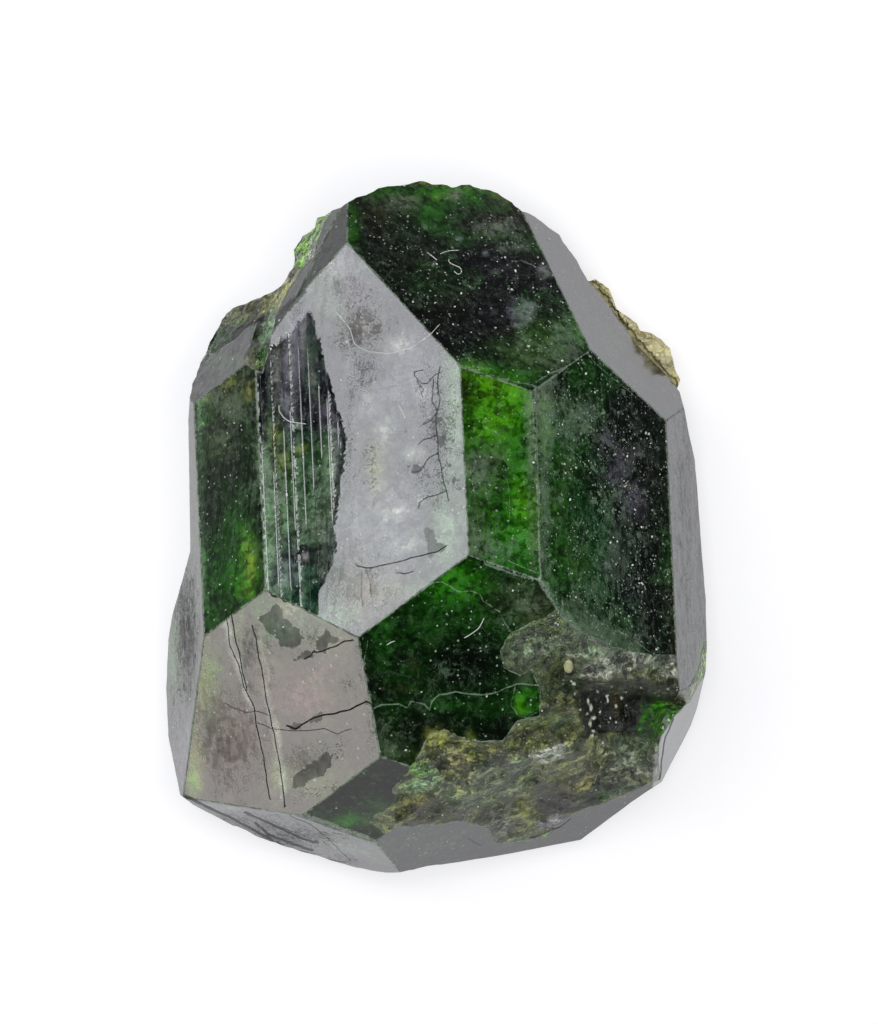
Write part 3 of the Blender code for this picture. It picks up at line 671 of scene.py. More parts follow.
INKED = {
    "front_striated": """
    dusk .6 255,330 330,330 350,440 340,560 255,600
    lilac 345,270,30,40,.35 400,380,40,50,.35 380,520,40,60,.45 365,590,24,30,.4
    mint 455,400,9,60,.8 448,530,18,40,.5 310,270,16,20,.5 340,615,20,20,.6 420,590,50,12,.4
      330,300,16,30,.3
    tan 378,468,8,24,.6 372,470,14,30,.3 366,590,20,26,.3
    mint .7 261,440 268,440 272,470 276,520 275,560 270,592 262,592 259,520
    lilac .4 283,340 296,318 300,306 309,306 303,345 300,370 295,400 294,450 286,452 280,400
    grey .5 266,352 284,330 283,362 276,385 268,392
    lilac .3 318,420 326,402 338,424 340,446 334,500 328,480 322,450
    teal .5 306,330 310,322 320,372 318,400 306,398 303,372
    teal .5 276,430 330,430 332,500 326,540 276,560
    teal .9 283,562 305,562 318,568 318,612 300,612 284,602
    mint .4 268,592 284,566 283,604 268,600
    moss 272,440,8,30,.8 290,478,18,26,.6 322,450,10,22,.6 300,510,30,12,.3 283,455,6,20,.5
    straw 284,462,5,8,.5 300,448,6,6,.5 275,436,5,10,.4
    ash 300,520,30,16,.4 325,490,9,26,.5 278,500,6,60,.5 320,540,8,24,.5
    dusk 318,545,10,18,.7 300,545,8,16,.5 292,410,6,30,.5
    grey .35 300,262 318,246 322,290 322,330 314,318 306,308 296,318 284,332 284,300
    mint 284,520,3,44,.5 297,480,3,30,.4 312,500,3,26,.4 268,500,3,70,.7 326,470,3,26,.5 305,540,10,5,.4
      288,588,4,14,.6 302,590,3,16,.6
    pewter 290,360,3,36,.6 278,380,3,22,.5 303,340,2.5,20,.5 313,380,2.5,26,.4 333,470,3,40,.6
    rose 368,590,8,26,.3 352,560,6,30,.25 340,585,4,24,.2
    white 400,345,14,8,.5 425,395,10,6,.5 385,430,8,10,.5 415,455,12,6,.4 395,510,14,8,.5 420,500,8,5,.4
      405,545,16,6,.5 365,400,8,14,.4 350,370,6,10,.4 338,270,8,10,.4
    dusk 412,318,10,5,.5 385,375,8,5,.5 405,410,8,4,.5 440,350,6,8,.5 375,520,6,10,.5 430,520,8,4,.5
      395,470,6,8,.4 350,545,8,12,.4 345,285,14,8,.4 370,300,12,5,.4
    white 305,557,2.6,2.6,1.4 298,427,2.2,1.6,1.4 303,554,2,2,1
    lilac 285,575,16,16,.4
    rose 388,592,30,20,.35 350,592,16,30,.35
    dusk 312,425,16,26,.4
    rose 362,325,22,17,.5 350,290,20,14,.3
    """,
    "front_green": """
    bright 495,400,40,52,.8 521,512,16,40,1 500,540,30,30,.5
    vivid 500,385,40,26,.7 490,425,26,22,.5 522,500,10,24,.6 478,365,14,14,.4
    moss 482,465,22,20,.8 478,530,14,40,.7 500,470,8,40,.3
    ash 474,470,10,16,.6 488,462,14,6,.4 472,534,6,30,.4 533,430,5,60,.7 533,540,4,40,.5
    dark_olive 470,385,5,40,.6 462,400,4,50,.6 505,412,10,5,.4
    lime 535,415,5,40,.35 535,510,4,30,.3
    """,
    "front_right": """
    mint .55 534,366 548,364 556,372 554,410 552,455 544,465 540,430 535,400
    green 560,480,22,50,.7 560,580,24,40,.8 548,520,10,80,.6 606,560,26,26,.5 585,372,14,12,.4
    teal 606,556,18,30,.8 590,520,16,20,.4 600,600,30,16,.3 640,610,20,20,.3
    moss 565,466,8,10,1 556,500,10,20,.5 575,560,20,30,.4 590,640,26,14,.6
    ash .5 556,394 566,398 580,408 594,424 602,436 596,442 584,432 572,424 560,412
    ash 600,640,14,18,.5 580,625,20,6,.5 620,650,16,8,.6
    dusk 620,470,30,60,.7 640,580,20,30,.5 650,420,14,30,.4 598,470,10,30,.5
    black 645,520,26,90,.45 606,470,12,30,.3
    lilac 588,412,10,8,.35 622,462,8,12,.4 634,500,10,16,.35 612,478,8,8,.3 640,450,8,8,.3 606,440,6,6,.4
    black 650,610,14,30,.8 640,440,20,26,.6 655,540,12,20,.6 625,580,10,12,.5
    dark_olive .9 668,560 676,560 677,654 669,656 667,610
    mint .6 538,580 548,584 560,604 575,624 592,638 612,652 622,662 600,656 580,644 562,628 548,606
      538,590
    white 546,596,2.5,6,.8 551,606,2.5,5,.8 541,556,2,6,.6
    lime 544,415,6,40,.35 541,510,4,30,.3
    """,
    "front_left": """
    black 240,430,8,50,.8 225,440,12,30,.5 210,520,14,30,.4
    moss 235,395,12,26,.8 250,380,8,20,.6 225,405,10,14,.6 212,430,8,30,.4 230,350,30,10,.6
    green 200,430,6,50,.8 220,580,26,40,.6 205,400,10,14,.6 235,520,14,30,.4
    vivid 250,568,8,24,.8 244,590,10,12,.5 246,545,6,14,.5
    straw 250,568,4,20,.5 226,382,8,8,.6 250,390,6,8,.6 205,395,8,6,.5
    bright 222,600,26,16,.5 236,570,10,24,.5 212,620,10,14,.5
    ash .5 256,420 263,420 263,470 257,470
    moss 220,438,14,24,.6
    ash 220,438,12,20,.35
    black 226,600,20,18,.5
    mint 199,430,3,60,.5 203,560,3,50,.4 204,395,6,6,.4
    """,
    "top_dark": """
    green 440,205,44,12,.7 430,225,30,16,.4 354,228,10,30,.8 500,236,36,7,.7 578,335,12,24,.8
      550,300,16,8,.3
    bright 448,192,30,10,.8 352,222,6,24,.5 540,248,24,5,.5 581,335,6,18,.6 487,376,40,10,1
    ash 455,200,9,7,.9 402,200,20,7,.8 496,228,22,7,.8 512,248,18,5,.6 390,207,12,5,.5
    umber 375,215,18,20,.8 500,215,26,8,.8 420,260,30,16,.4 470,300,40,20,.3
    dusk 490,265,40,16,.8 500,310,36,24,.7 450,340,40,20,.3
    lilac .5 508,306 520,298 536,306 534,318 524,328 512,326
    moss 526,350,20,16,.8 556,350,26,18,.8 500,345,12,14,.4 535,330,14,10,.5
    ash 520,346,8,10,.5 556,330,6,12,.4 545,360,12,6,.5
    deep 400,290,40,50,.6 440,240,60,14,.4 390,240,20,20,.4
    vivid 470,372,16,10,.7 494,380,20,6,.6
    moss 372,206,10,5,.5 436,196,16,5,.5 400,215,20,8,.3
    lilac 545,271,5,5,.8 459,239,2,2,.9 486,254,1.8,1.8,.9 433,264,1.6,1.6,.9
    black 470,275,30,10,.7 505,340,16,8,.6 370,240,12,20,.5 400,250,20,14,.4
    """,
    "window": """
    bright 455,576,26,12,.9 462,592,24,9,.8 440,590,14,10,.6
    green 440,600,40,14,.6 460,626,50,18,.4 384,620,14,26,.7 420,650,40,26,.3 460,705,60,8,.5
      385,660,10,20,.4
    moss 520,600,30,16,.8 540,620,20,12,.7 413,662,6,8,.7 405,688,8,5,.6 428,646,6,6,.4 378,600,10,10,.4
    black 466,660,26,24,1 478,700,40,5,.4 476,732,34,12,1 510,600,20,14,.7 492,640,10,14,.5
      440,668,12,10,.7 394,740,24,22,.7 404,628,12,16,.4
    dusk 445,668,8,6,.6 468,668,20,18,.4
    bright .62 515,690 524,686 538,688 540,700 538,712 528,716 518,715 512,706 513,698
    straw 438,734,9,6,.8 470,745,4,12,.8 486,750,22,3,.8 428,742,4,8,.6 448,748,16,3,.6 458,756,40,4,.7
    ash 528,604,20,12,.4 512,655,5,8,.6 398,752,10,8,.6 386,745,14,20,.2 530,668,12,16,.5
    black 466,664,34,30,.7 425,662,50,30,.5 470,728,50,16,.5 400,735,26,20,.3
    deep 533,702,6,10,.7 540,690,4,6,.6
    vivid 519,706,5,8,.5
    """,
    "cracked": """
    pewter .8 223,614 228,612 233,640 241,660 248,690 256,712 252,714 244,694 236,668 228,650
    pewter .8 257,640 261,640 268,670 274,712 282,752 288,800 282,800 276,756 268,712 262,672
    dark_olive .6 231,612 250,612 262,666 256,690 244,676 236,645
    rose 232,742,26,38,.8 305,702,26,16,.6 265,672,14,20,.4 320,680,30,24,.4
    straw 196,768,7,32,.9 204,686,12,30,.5 200,652,8,20,.3
    vivid 194,780,5,20,.8 212,672,10,22,.4
    green .8 249,601 262,594 275,598 283,606 281,613 270,612 268,616 276,618 284,622 290,628 298,633
      300,640 292,641 286,645 280,640 268,637 262,630 256,620 250,610
    tan 290,610,14,10,.7 240,630,5,22,.7 262,660,4,30,.6 275,760,4,40,.6 330,640,20,14,.4 310,780,30,16,.4
    black 244,632,9,24,.55 250,660,5,20,.4 262,650,4,28,.4 206,738,9,28,.3 246,668,5,16,.3
    umber 232,756,26,36,.6 214,720,9,36,.4 300,770,40,12,.3 352,740,8,20,.3
    mint 300,622,30,18,.3
    """,
    "top_left_band": """
    green 226,362,24,10,.5
    """,
    "side_left": """
    bright 174,640,5,24,.9 172,668,6,16,.5
    green 170,640,4,34,.9
    lilac 184,760,12,60,.4
    black 188,622,9,46,.7
    """,
    "side_right": """
    bright .9 703,640 707,640 707,668 700,684 690,702 684,703 690,690 697,668 700,655
    """,
    "low_grey": """
    bright 352,819,12,4,1 344,824,8,3,.7
    moss 372,818,10,5,.6 380,806,14,6,.4
    """,
    "low_left": """
    lilac 260,800,60,20,.5 330,850,40,16,.4
    """,
    "low_right": """
    mint 470,862,60,14,.4 560,835,40,12,.5
    """,
    "corner": """
    olive 560,760,90,60,1
    moss .8 505,612 560,600 600,650 580,700 560,745 520,720 500,660
    umber 572,662,8,16,.8 552,690,10,26,.5
    ash 545,650,20,8,.6 560,640,26,6,.7 520,650,12,16,.5 598,650,14,6,.5
    olive .7 560,690 580,700 586,730 575,750 548,748 530,730 536,700
    ash 1 576,676 583,668 592,662 608,656 620,658 628,650 640,652 648,658 665,655 690,652 690,690 681,678
      672,680 650,679 630,679 612,677 602,681 590,678
    pewter .9 576,676 583,668 592,662 608,656 620,658 628,650 640,652 648,658 665,655 690,652 690,682
      681,676 672,678 650,675 630,676 612,674 602,678 590,676
    olive .9 630,668 646,666 662,672 650,678 632,676
    mint .5 650,660 662,658 663,671 652,670
    moss .6 664,658 680,656 680,672 668,674
    umber 1 576,678 590,680 602,683 614,679 640,681 660,682 681,678 680,690 677,701 660,700 630,696
      612,690 598,690 580,692
    black 1 598,689 612,690 630,694 660,698 678,701 660,704 640,702 640,736 620,734 606,736 588,736
      582,716 578,692
    brown .6 611,692 622,691 625,706 618,716 610,708
    umber 592,712,8,18,.6
    bright 1 640,702 656,703 680,705 691,702 684,712 677,722 664,736 656,743 644,740 636,734 641,716
    vivid 660,722,10,14,.4 672,708,12,4,.4
    deep .8 664,732 677,722 676,744 664,752
    lime .9 684,703 692,692 700,668 703,641 709,655 706,672 699,690 690,704
    umber 566,700,5,24,.7 556,668,10,10,.6 520,676,8,10,.5 540,700,6,16,.4 500,790,16,5,.6 470,804,20,5,.6
      548,786,14,8,.6
    mint 545,690,10,4,.5 560,720,12,4,.4 530,652,16,4,.6 590,650,12,4,.6 615,653,10,3,.6 600,752,8,4,.5
      628,762,12,4,.6 618,774,10,3,.5 640,750,10,3,.5 478,790,12,3,.5 450,800,10,3,.4 520,760,10,3,.5
    pewter 600,655,30,4,.5 640,665,14,3,.5 676,668,8,8,.4 625,768,20,10,.35 545,650,16,8,.3
      600,745,10,8,.3 470,770,12,6,.4
    deep .6 655,738 665,734 662,790 650,790
    umber 562,800,16,10,.5 540,786,14,8,.4 515,800,10,8,.4
    white .7 531,758 540,750 556,745 566,744 574,752 560,758 544,762 534,763
    straw .6 566,736 573,740 573,752 565,757 562,752
    tan .7 588,735 608,736 612,760 600,776 584,790 566,790 570,770 580,750
    ash .8 612,738 640,736 662,746 658,775 640,782 622,776 612,768
    moss 640,745,20,8,.7 628,770,14,8,.6 615,750,8,12,.4
    grey .7 645,757 660,750 659,776 646,774
    deep .9 569,812 584,796 596,776 612,772 632,784 648,782 634,792 606,800 584,812
    green 606,796,16,8,.5 586,806,10,5,.5
    umber .9 532,790 546,782 566,784 576,780 572,796 562,812 544,816 534,806
    straw 522,806,8,12,.7 513,800,8,10,.4
    brown 512,798,12,10,.6 560,790,14,8,.5 424,808,20,12,.7
    ash 640,688,8,2,.5 612,684,8,2,.5 664,688,8,3,.4 600,684,5,3,.4
    lilac .7 533,822 545,818 560,814 566,820 556,828 540,830
    umber .6 402,828 420,812 450,800 476,804 500,806 504,828 480,824 440,826 410,832
    moss 470,796,30,8,.7 500,785,30,10,.6 510,770,20,8,.6
    straw 462,790,12,6,.5 478,788,8,4,.4
    grey .7 486,812 500,808 512,822 506,836 494,832
    ash .9 478,768 486,762 494,752 501,750 498,764 492,774 484,780 474,776
    tan .8 437,772 440,752 452,746 466,752 476,764 468,776 450,774
    umber 441,764,5,5,.9 448,776,8,4,.5
    vivid 421,768,9,5,.9 416,773,8,4,.6
    mint 424,783,14,6,.8 412,788,10,6,.6 432,774,8,8,.5
    grey 416,756,8,7,.7 448,784,8,5,.5 515,765,20,6,.5
    straw 440,740,14,6,.6 480,750,20,4,.6
    mint .6 505,838 530,836 556,832 582,818 600,808 640,790 600,815 560,836 520,846
    pewter 630,768,24,16,.6 480,790,40,16,.25 655,668,20,6,.3
    olive 552,685,10,36,.5
    ash 584,684,3,3,.8 592,688,4,2,.7 601,686,3,3,.8 610,690,4,2,.6 622,690,4,3,.7 634,692,4,2,.6
      648,690,3,3,.7 660,692,4,3,.6 672,690,3,3,.8 676,684,3,4,.8
    black 550,804,18,12,.5 540,822,10,5,.4
    deep 650,724,7,12,.5
    """,
    "flank": """
    deep 250,320,80,60,.8
    moss 250,310,14,8,.6 215,350,6,10,.3 285,290,12,8,.5
    lime 1 289,266 290,252 293,242 302,234 311,226 315,216 324,210 333,208 326,222 320,236 314,244 306,254
      306,264 298,270
    vivid 308,238,7,7,.6 297,258,5,8,.6 320,220,5,6,.5
    cream 1 310,243 314,245 315,257 310,263 306,257 308,250
    tan .9 280,276 283,268 292,265 302,269 298,278 288,286 279,284
    straw .8 262,296 282,288 300,272 304,274 290,292 282,302 276,314 268,318 260,312
    brown .6 227,316 240,302 256,296 264,294 270,292 264,304 252,310 244,320 234,328 224,326
    ash .8 212,330 228,312 236,306 234,318 226,330 214,340
    black 1 222,349 234,336 248,324 262,316 268,318 252,331 238,343 226,350
    deep .9 198,368 208,346 222,326 240,314 250,318 236,336 222,352 208,366
    green 208,352,7,12,.8 222,336,8,8,.6
    olive 236,316,18,9,.8 262,302,12,8,.5
    vivid 214,346,6,4,.4 240,322,8,3,.4
    green .3 198,368 208,346 220,330 230,324 236,332 222,348 208,362
    mint .8 262,318 276,306 274,326 270,346 262,350 258,336
    green 268,352,8,14,.7 262,360,8,12,.5
    """,
    "top": """
    green 450,198,110,30,.9
    bright 452,190,30,10,1 400,192,30,8,.6 496,200,16,5,.4
    lime 474,183,20,2.5,.6 505,197,10,2.5,.6 430,182,14,2,.5 444,196,20,3,.3
    ash 455,196,7,6,1 402,200,16,5,.9 500,190,14,4,.5 510,200,12,4,.4 370,200,10,3,.4
    umber 360,208,14,10,.6 500,204,16,8,.5
    straw 486,186,18,3,.8 512,196,12,5,.6 430,184,16,2,.6
    umber 378,212,18,12,.7 420,186,14,4,.5
    """,
    "sides": """
    moss 400,500,2000,2000,.6
    """,
}
# Haze, dark etching, dull places, and specks that give dust and painted glints: each face's own level, with
# soft spots added to it
HAZE = {
    "front_striated": """
    .22 270,520,9,60,.4 350,590,30,50,.3 450,400,14,60,.4 400,560,60,60,.2 340,280,20,24,.3
    300,500,30,60,.3
    """,
    "front_green": ".14 480,470,18,20,.6 478,540,24,40,.4 530,430,8,60,.6 500,550,30,14,.4",
    "front_right": """
    .26 543,410,10,55,.8 575,420,24,24,.5 610,560,28,40,.35 600,640,40,20,.6 545,520,6,80,.6
    575,620,30,30,.45 620,490,26,60,.2
    """,
    "front_left": ".2 220,360,30,10,.5 212,400,14,20,.4 235,405,12,26,.5 262,420,6,60,.5 255,470,8,60,.2",
    "top_dark": """
    .16 570,330,12,26,.4 455,200,10,8,.7 496,228,22,9,.6 512,248,16,6,.5 522,312,14,18,.6 565,350,22,20,.6
    410,200,20,8,.4 545,271,6,7,1.2
    """,
    "window": ".12 530,600,26,20,.35 395,735,24,28,.25 515,640,12,26,.3 445,670,10,8,.4",
    "cracked": ".1 330,640,30,50,.1",
    "low_grey": ".2",
    "side_right": ".25",
    "side_left": ".35",
}
CORNER_HAZE = drawn("""
    600,655,24,8,.4 560,700,14,20,.2 530,640,22,24,.5 630,668,52,7,.75 635,762,24,20,.55 600,742,20,14,.45
    550,748,34,6,.5 470,790,30,12,.35 560,650,20,10,.3 450,760,20,8,.3
""")
CORNER_DARK = drawn("552,803,20,14,1 515,808,20,9,.5 648,722,6,12,.6 600,712,14,14,.4")
FLANK_DARK = drawn("214,350,6,5,.8 224,342,7,5,.8 234,335,7,5,.8 245,328,7,5,.8 256,321,7,5,.8")
ETCHED = {
    "front_striated": """
    .05 362,325,22,17,.62 364,372,15,22,.5 415,468,9,7,.4 345,345,14,8,.5 455,482,6,6,.9 370,455,6,10,.5
    460,453,4,4,1 430,395,16,30,.42 442,440,12,40,.42 425,490,16,26,.3 452,410,7,20,.5 350,290,24,24,.22
    375,580,16,40,.2 345,600,14,24,.2 370,470,8,30,.3 400,440,10,60,.1 350,440,6,60,.35
    300,350,14,30,.25
    """,
    "cracked": """
    .02 288,634,14,9,.3 314,634,9,14,.3 322,748,6,12,.4 365,645,8,30,.7 345,684,10,8,.4 340,748,6,18,.4
    300,795,20,8,.3 372,700,5,50,.6 340,790,24,8,.4
    """,
    "side_left": ".12 187,630,9,50,.9 182,600,8,30,.5 176,690,5,20,.4",
    "top_left_slope": "0 296,298,12,12,.9 310,285,8,8,.5",
    "low_left": ".05 300,838,46,9,1.2 240,822,40,8,1.2 330,860,30,8,.9",
    "low_sliver": ".2 330,860,50,10,.5",
}
DIM = {
    "side_right": ".5 684,500,6,200,.2",
    "top_left_slope": ".6 265,320,12,14,-.3 296,298,14,12,.5",
    "top_left_band": ".7",
    "top_right": ".12",
    "low_grey": ".2",
    "cracked": """
    .12 232,742,30,46,.9 205,690,16,50,.5 305,762,26,18,.6 250,650,14,34,.6 345,690,12,16,.4
    300,640,40,16,.4 270,690,6,60,.3
    """,
    "side_left": ".1 187,635,12,60,.9 180,740,12,50,.25",
    "low_left": "0 285,835,60,10,.5",
    "front_striated": """
    .05 360,325,30,22,.6 364,372,16,24,.5 300,350,18,50,.6 345,285,22,20,.3 435,440,12,60,.35
    345,580,22,34,.35 370,470,14,40,.3 420,540,26,26,-.1 440,500,14,16,.3 388,592,30,20,.25
    """,
}
# Dark etched patches with sharp borders
PATCHES = """
    266,332 272,318 286,303 302,289 307,291 298,302 284,316 274,328
    424,526 433,529 434,541 446,544 442,551 432,556 426,558 428,546 424,536
    293,660 300,652 308,649 314,655 316,658 308,658 300,661
    288,727 294,723 300,724 301,730 294,731
    306,724 316,714 323,712 322,719 312,725
    435,436 445,435 446,444 440,449 436,445
    411,468 418,464 422,470 416,475 411,473
    258,618 266,613 276,605 282,608 285,618 293,626 301,631 304,639 298,647 288,648 280,645 274,636 266,628
    316,645 320,636 327,628 330,634 338,637 340,642 330,645 327,653 320,653
    293,778 298,772 314,762 327,752 333,756 330,765 324,775 311,781 298,788 292,791
"""
SPECKS = {
    "front_right": ".9 625,490,40,90,.9 590,420,20,20,.5",
    "top_dark": ".5",
    "front_green": ".3",
    "window": ".14 468,668,26,24,.4",
    "front_striated": ".08 290,470,30,80,.25 345,290,8,30,.3",
    "front_left": ".12",
}
# Painted glints: white highlights in the broken corner's pocket, glowing a little, where small facets would
# catch the light
GLINTS = drawn("""
    588,701,1.6,4,1 591,708,2,5,1 594,718,3,3,1 590,724,2,4,1 587,714,1.6,2,1 593,731,2,2,1 607,696,2,2.6,1
    608,701,1.6,2.4,1 622,698,2.6,2,1 616,706,2,2.4,1 610,718,1.4,2.6,1 574,684,3,2,1 571,681,1.6,1.6,1
    583,687,2,1.2,.9 597,690,1.6,1.2,.9 612,687,2,1.2,.9 626,692,1.4,1.2,.9 641,688,2,1.2,.9
    655,693,1.4,1.2,.9 668,689,2,1.4,.9 677,690,1.4,2,.9 646,700,1.4,1,.8 580,700,1.2,2,.8 584,726,1.2,2,.9
    600,726,1.6,2.4,.9 613,711,1.2,2,.9 605,704,1.2,1.6,.9 619,730,1.6,1.2,.8 592,736,3,2,.9
    603,743,1.4,3,.9 606,754,1.4,3,.9 657,652,4,2.4,.9 669,720,1.6,2,1 663,728,1.6,3,1 630,670,1.6,1.6,.9
    600,712,1.4,3,.9 598,692,2,1.4,.8 616,722,1.4,2,.8 626,706,1.4,1.6,.8 575,694,1.4,3,.8
""")


def spots(places, x, y):
    """Soft spots added up: each has its middle, half width, half height and strength."""
    total = np.zeros(x.shape)
    for across, up, wide, high, strength in places:
        total += strength * np.exp(-((x - across) / wide) ** 2 - ((y - up) / high) ** 2)
    return total


top_count = len(triangles)
corner_of = shell.ravel()
cx, cy = places[corner_of].T[:2]
middles = places[shell].mean(axis=1)
lowest = face_heights(middles[:, 0], middles[:, 1]).argmin(axis=0)
on_top = np.arange(len(shell)) < top_count
broken_by = [on_top & inside(b.edge, middles[:, 0], middles[:, 1]) for b in breaks]
broken = broken_by[0] | broken_by[1] | broken_by[2]
rough_side = ~on_top
whole_face = on_top & ~broken
each = {name: np.repeat(whole_face & (lowest == i), 3) for i, name in enumerate(face_names)}


def painted(table, plain=0.0):
    """A value at every corner: for each face of the table its own level, with soft spots added."""
    value = np.full(cx.shape, plain)
    for name, text in table.items():
        here = each[name]
        for level, marks in entries(text):
            value[here] = float(level) + spots(marks, cx[here], cy[here])
    return value


in_corner, in_flank, in_top = (np.repeat(b, 3) for b in broken_by)
sides = np.repeat(rough_side, 3)
each.update(corner=in_corner, flank=in_flank, top=in_top, sides=sides)
look = {"haze": painted(HAZE, 0.15), "etched": painted(ETCHED), "specks": painted(SPECKS, 0.05)}

# The inks are laid over each other in order, along borders that waver a little
seen = {name: np.minimum(0.9, INK_GAIN * (np.array(rgb) / 255) ** 2.2) for name, rgb in INKS.items()}
vx, vy = places.T[:2]
wavers = np.array([noise.noise_vector(Vector((x * 4, y * 4, 3.0))) for x, y in zip(vx, vy)])
fine_wavers = np.array([noise.noise_vector(Vector((x * 14, y * 14, 9.0))) for x, y in zip(vx, vy)])
shift = (wavers * 0.06 + fine_wavers * 0.03)[corner_of]
wx, wy = cx + shift[:, 0], cy + shift[:, 1]
ink = np.tile(seen["black"], (len(cx), 1))
for name, ground in GROUND.items():
    ink[each[name]] = seen[ground]
ink[in_corner | in_flank | sides] = seen["olive"]
ink[in_top] = seen["black"]
for where, text in INKED.items():
    for name, *strength, shape in entries(text):
        here = np.flatnonzero(each[where])
        x, y = wx[here], wy[here]
        if not strength:
            share = np.clip(spots(shape, x, y), 0, 1)
        else:
            close = around(shape, x, y, 0.05)
            here, x, y = here[close], x[close], y[close]
            share = float(strength[0]) * np.clip(0.5 + depth_inside(shape, x, y) / 0.06, 0, 1)
        ink[here] += (seen[name] - ink[here]) * share[:, None]
look["dim"] = painted(DIM)
look["haze"][in_corner] = 0.12 + spots(CORNER_HAZE, cx[in_corner], cy[in_corner])
look["etched"][in_corner] = spots(CORNER_DARK, cx[in_corner], cy[in_corner])
look["haze"][in_flank] = 0.12
look["etched"][in_flank] = spots(FLANK_DARK, cx[in_flank], cy[in_flank])
look["haze"][in_top] = 0.08
look["specks"][in_corner] = 0.2
look["glint"] = np.where(in_corner, spots(GLINTS, cx, cy), 0)
look["broken"] = np.where(in_top, 0.0, np.repeat(broken | rough_side, 3))
look["patch"] = np.full(cx.shape, -1.0)
for patch in map(drawn, PATCHES.strip().splitlines()):
    here = around(patch, cx, cy, 0.3)
    look["patch"][here] = np.maximum(look["patch"][here], depth_inside(patch, cx[here], cy[here]))
look["patch"][look["broken"] > 0.5] = -1.0

# How far each place is from the edges of its face and of the breaks, up to 1 mm
heights = np.sort(face_heights(cx, cy), axis=0)[:2]
flats = face_normals[:, :2] / face_normals[:, 2:]
two = np.argsort(face_heights(cx, cy), axis=0)[:2]
slope = np.hypot(*(flats[two[1]] - flats[two[0]]).T)
on_face = np.repeat(whole_face, 3)
look["edge"] = np.where(on_face, np.minimum(1, (heights[1] - heights[0]) / slope), 1)
for b in (corner, flank):
    near_break = np.ones(len(vx))
    here = around(b.edge, vx, vy, 0.1)
    near_break[here] = line_distance(b.edge, vx[here], vy[here], True)
    look["edge"] = np.where(on_face, np.minimum(look["edge"], near_break[corner_of]), look["edge"])
pale = np.zeros(vx.shape)
dark = np.zeros(vx.shape)
for line, width, _, tone in cracks:
    here = around(line, vx, vy, width)
    near = abs(tone) * np.clip(1 - line_distance(line, vx[here], vy[here]) / width * 2, 0, 1)
    marked = pale if tone > 0 else dark
    marked[here] = np.maximum(marked[here], near)
look["pale"] = np.where(sides, 0, pale[corner_of])
look["crack"] = np.where(sides, 0, dark[corner_of])
look["specks"] *= np.clip(1 + 2.6 * wavers[corner_of, 2], 0.15, 3)

mesh = bpy.data.meshes.new("garnet")
mesh.vertices.add(len(places))
mesh.vertices.foreach_set("co", (places * MM).ravel())
mesh.loops.add(len(corner_of))
mesh.loops.foreach_set("vertex_index", corner_of)
mesh.polygons.add(len(shell))
mesh.polygons.foreach_set("loop_start", np.arange(0, len(corner_of), 3))
mesh.update(calc_edges=True)
mesh.shade_flat()
for name, values in look.items():
    attribute = mesh.attributes.new(name, "FLOAT", "CORNER")
    attribute.data.foreach_set("value", values.astype(np.float32))
attribute = mesh.attributes.new("ink", "FLOAT_COLOR", "CORNER")
ink = np.column_stack([ink, np.ones(len(ink))])
attribute.data.foreach_set("color", ink.astype(np.float32).ravel())


def placed(name, data):
    """A new object in the scene."""
    item = bpy.data.objects.new(name, data)
    bpy.context.scene.collection.objects.link(item)
    return item


garnet = placed("garnet", mesh)


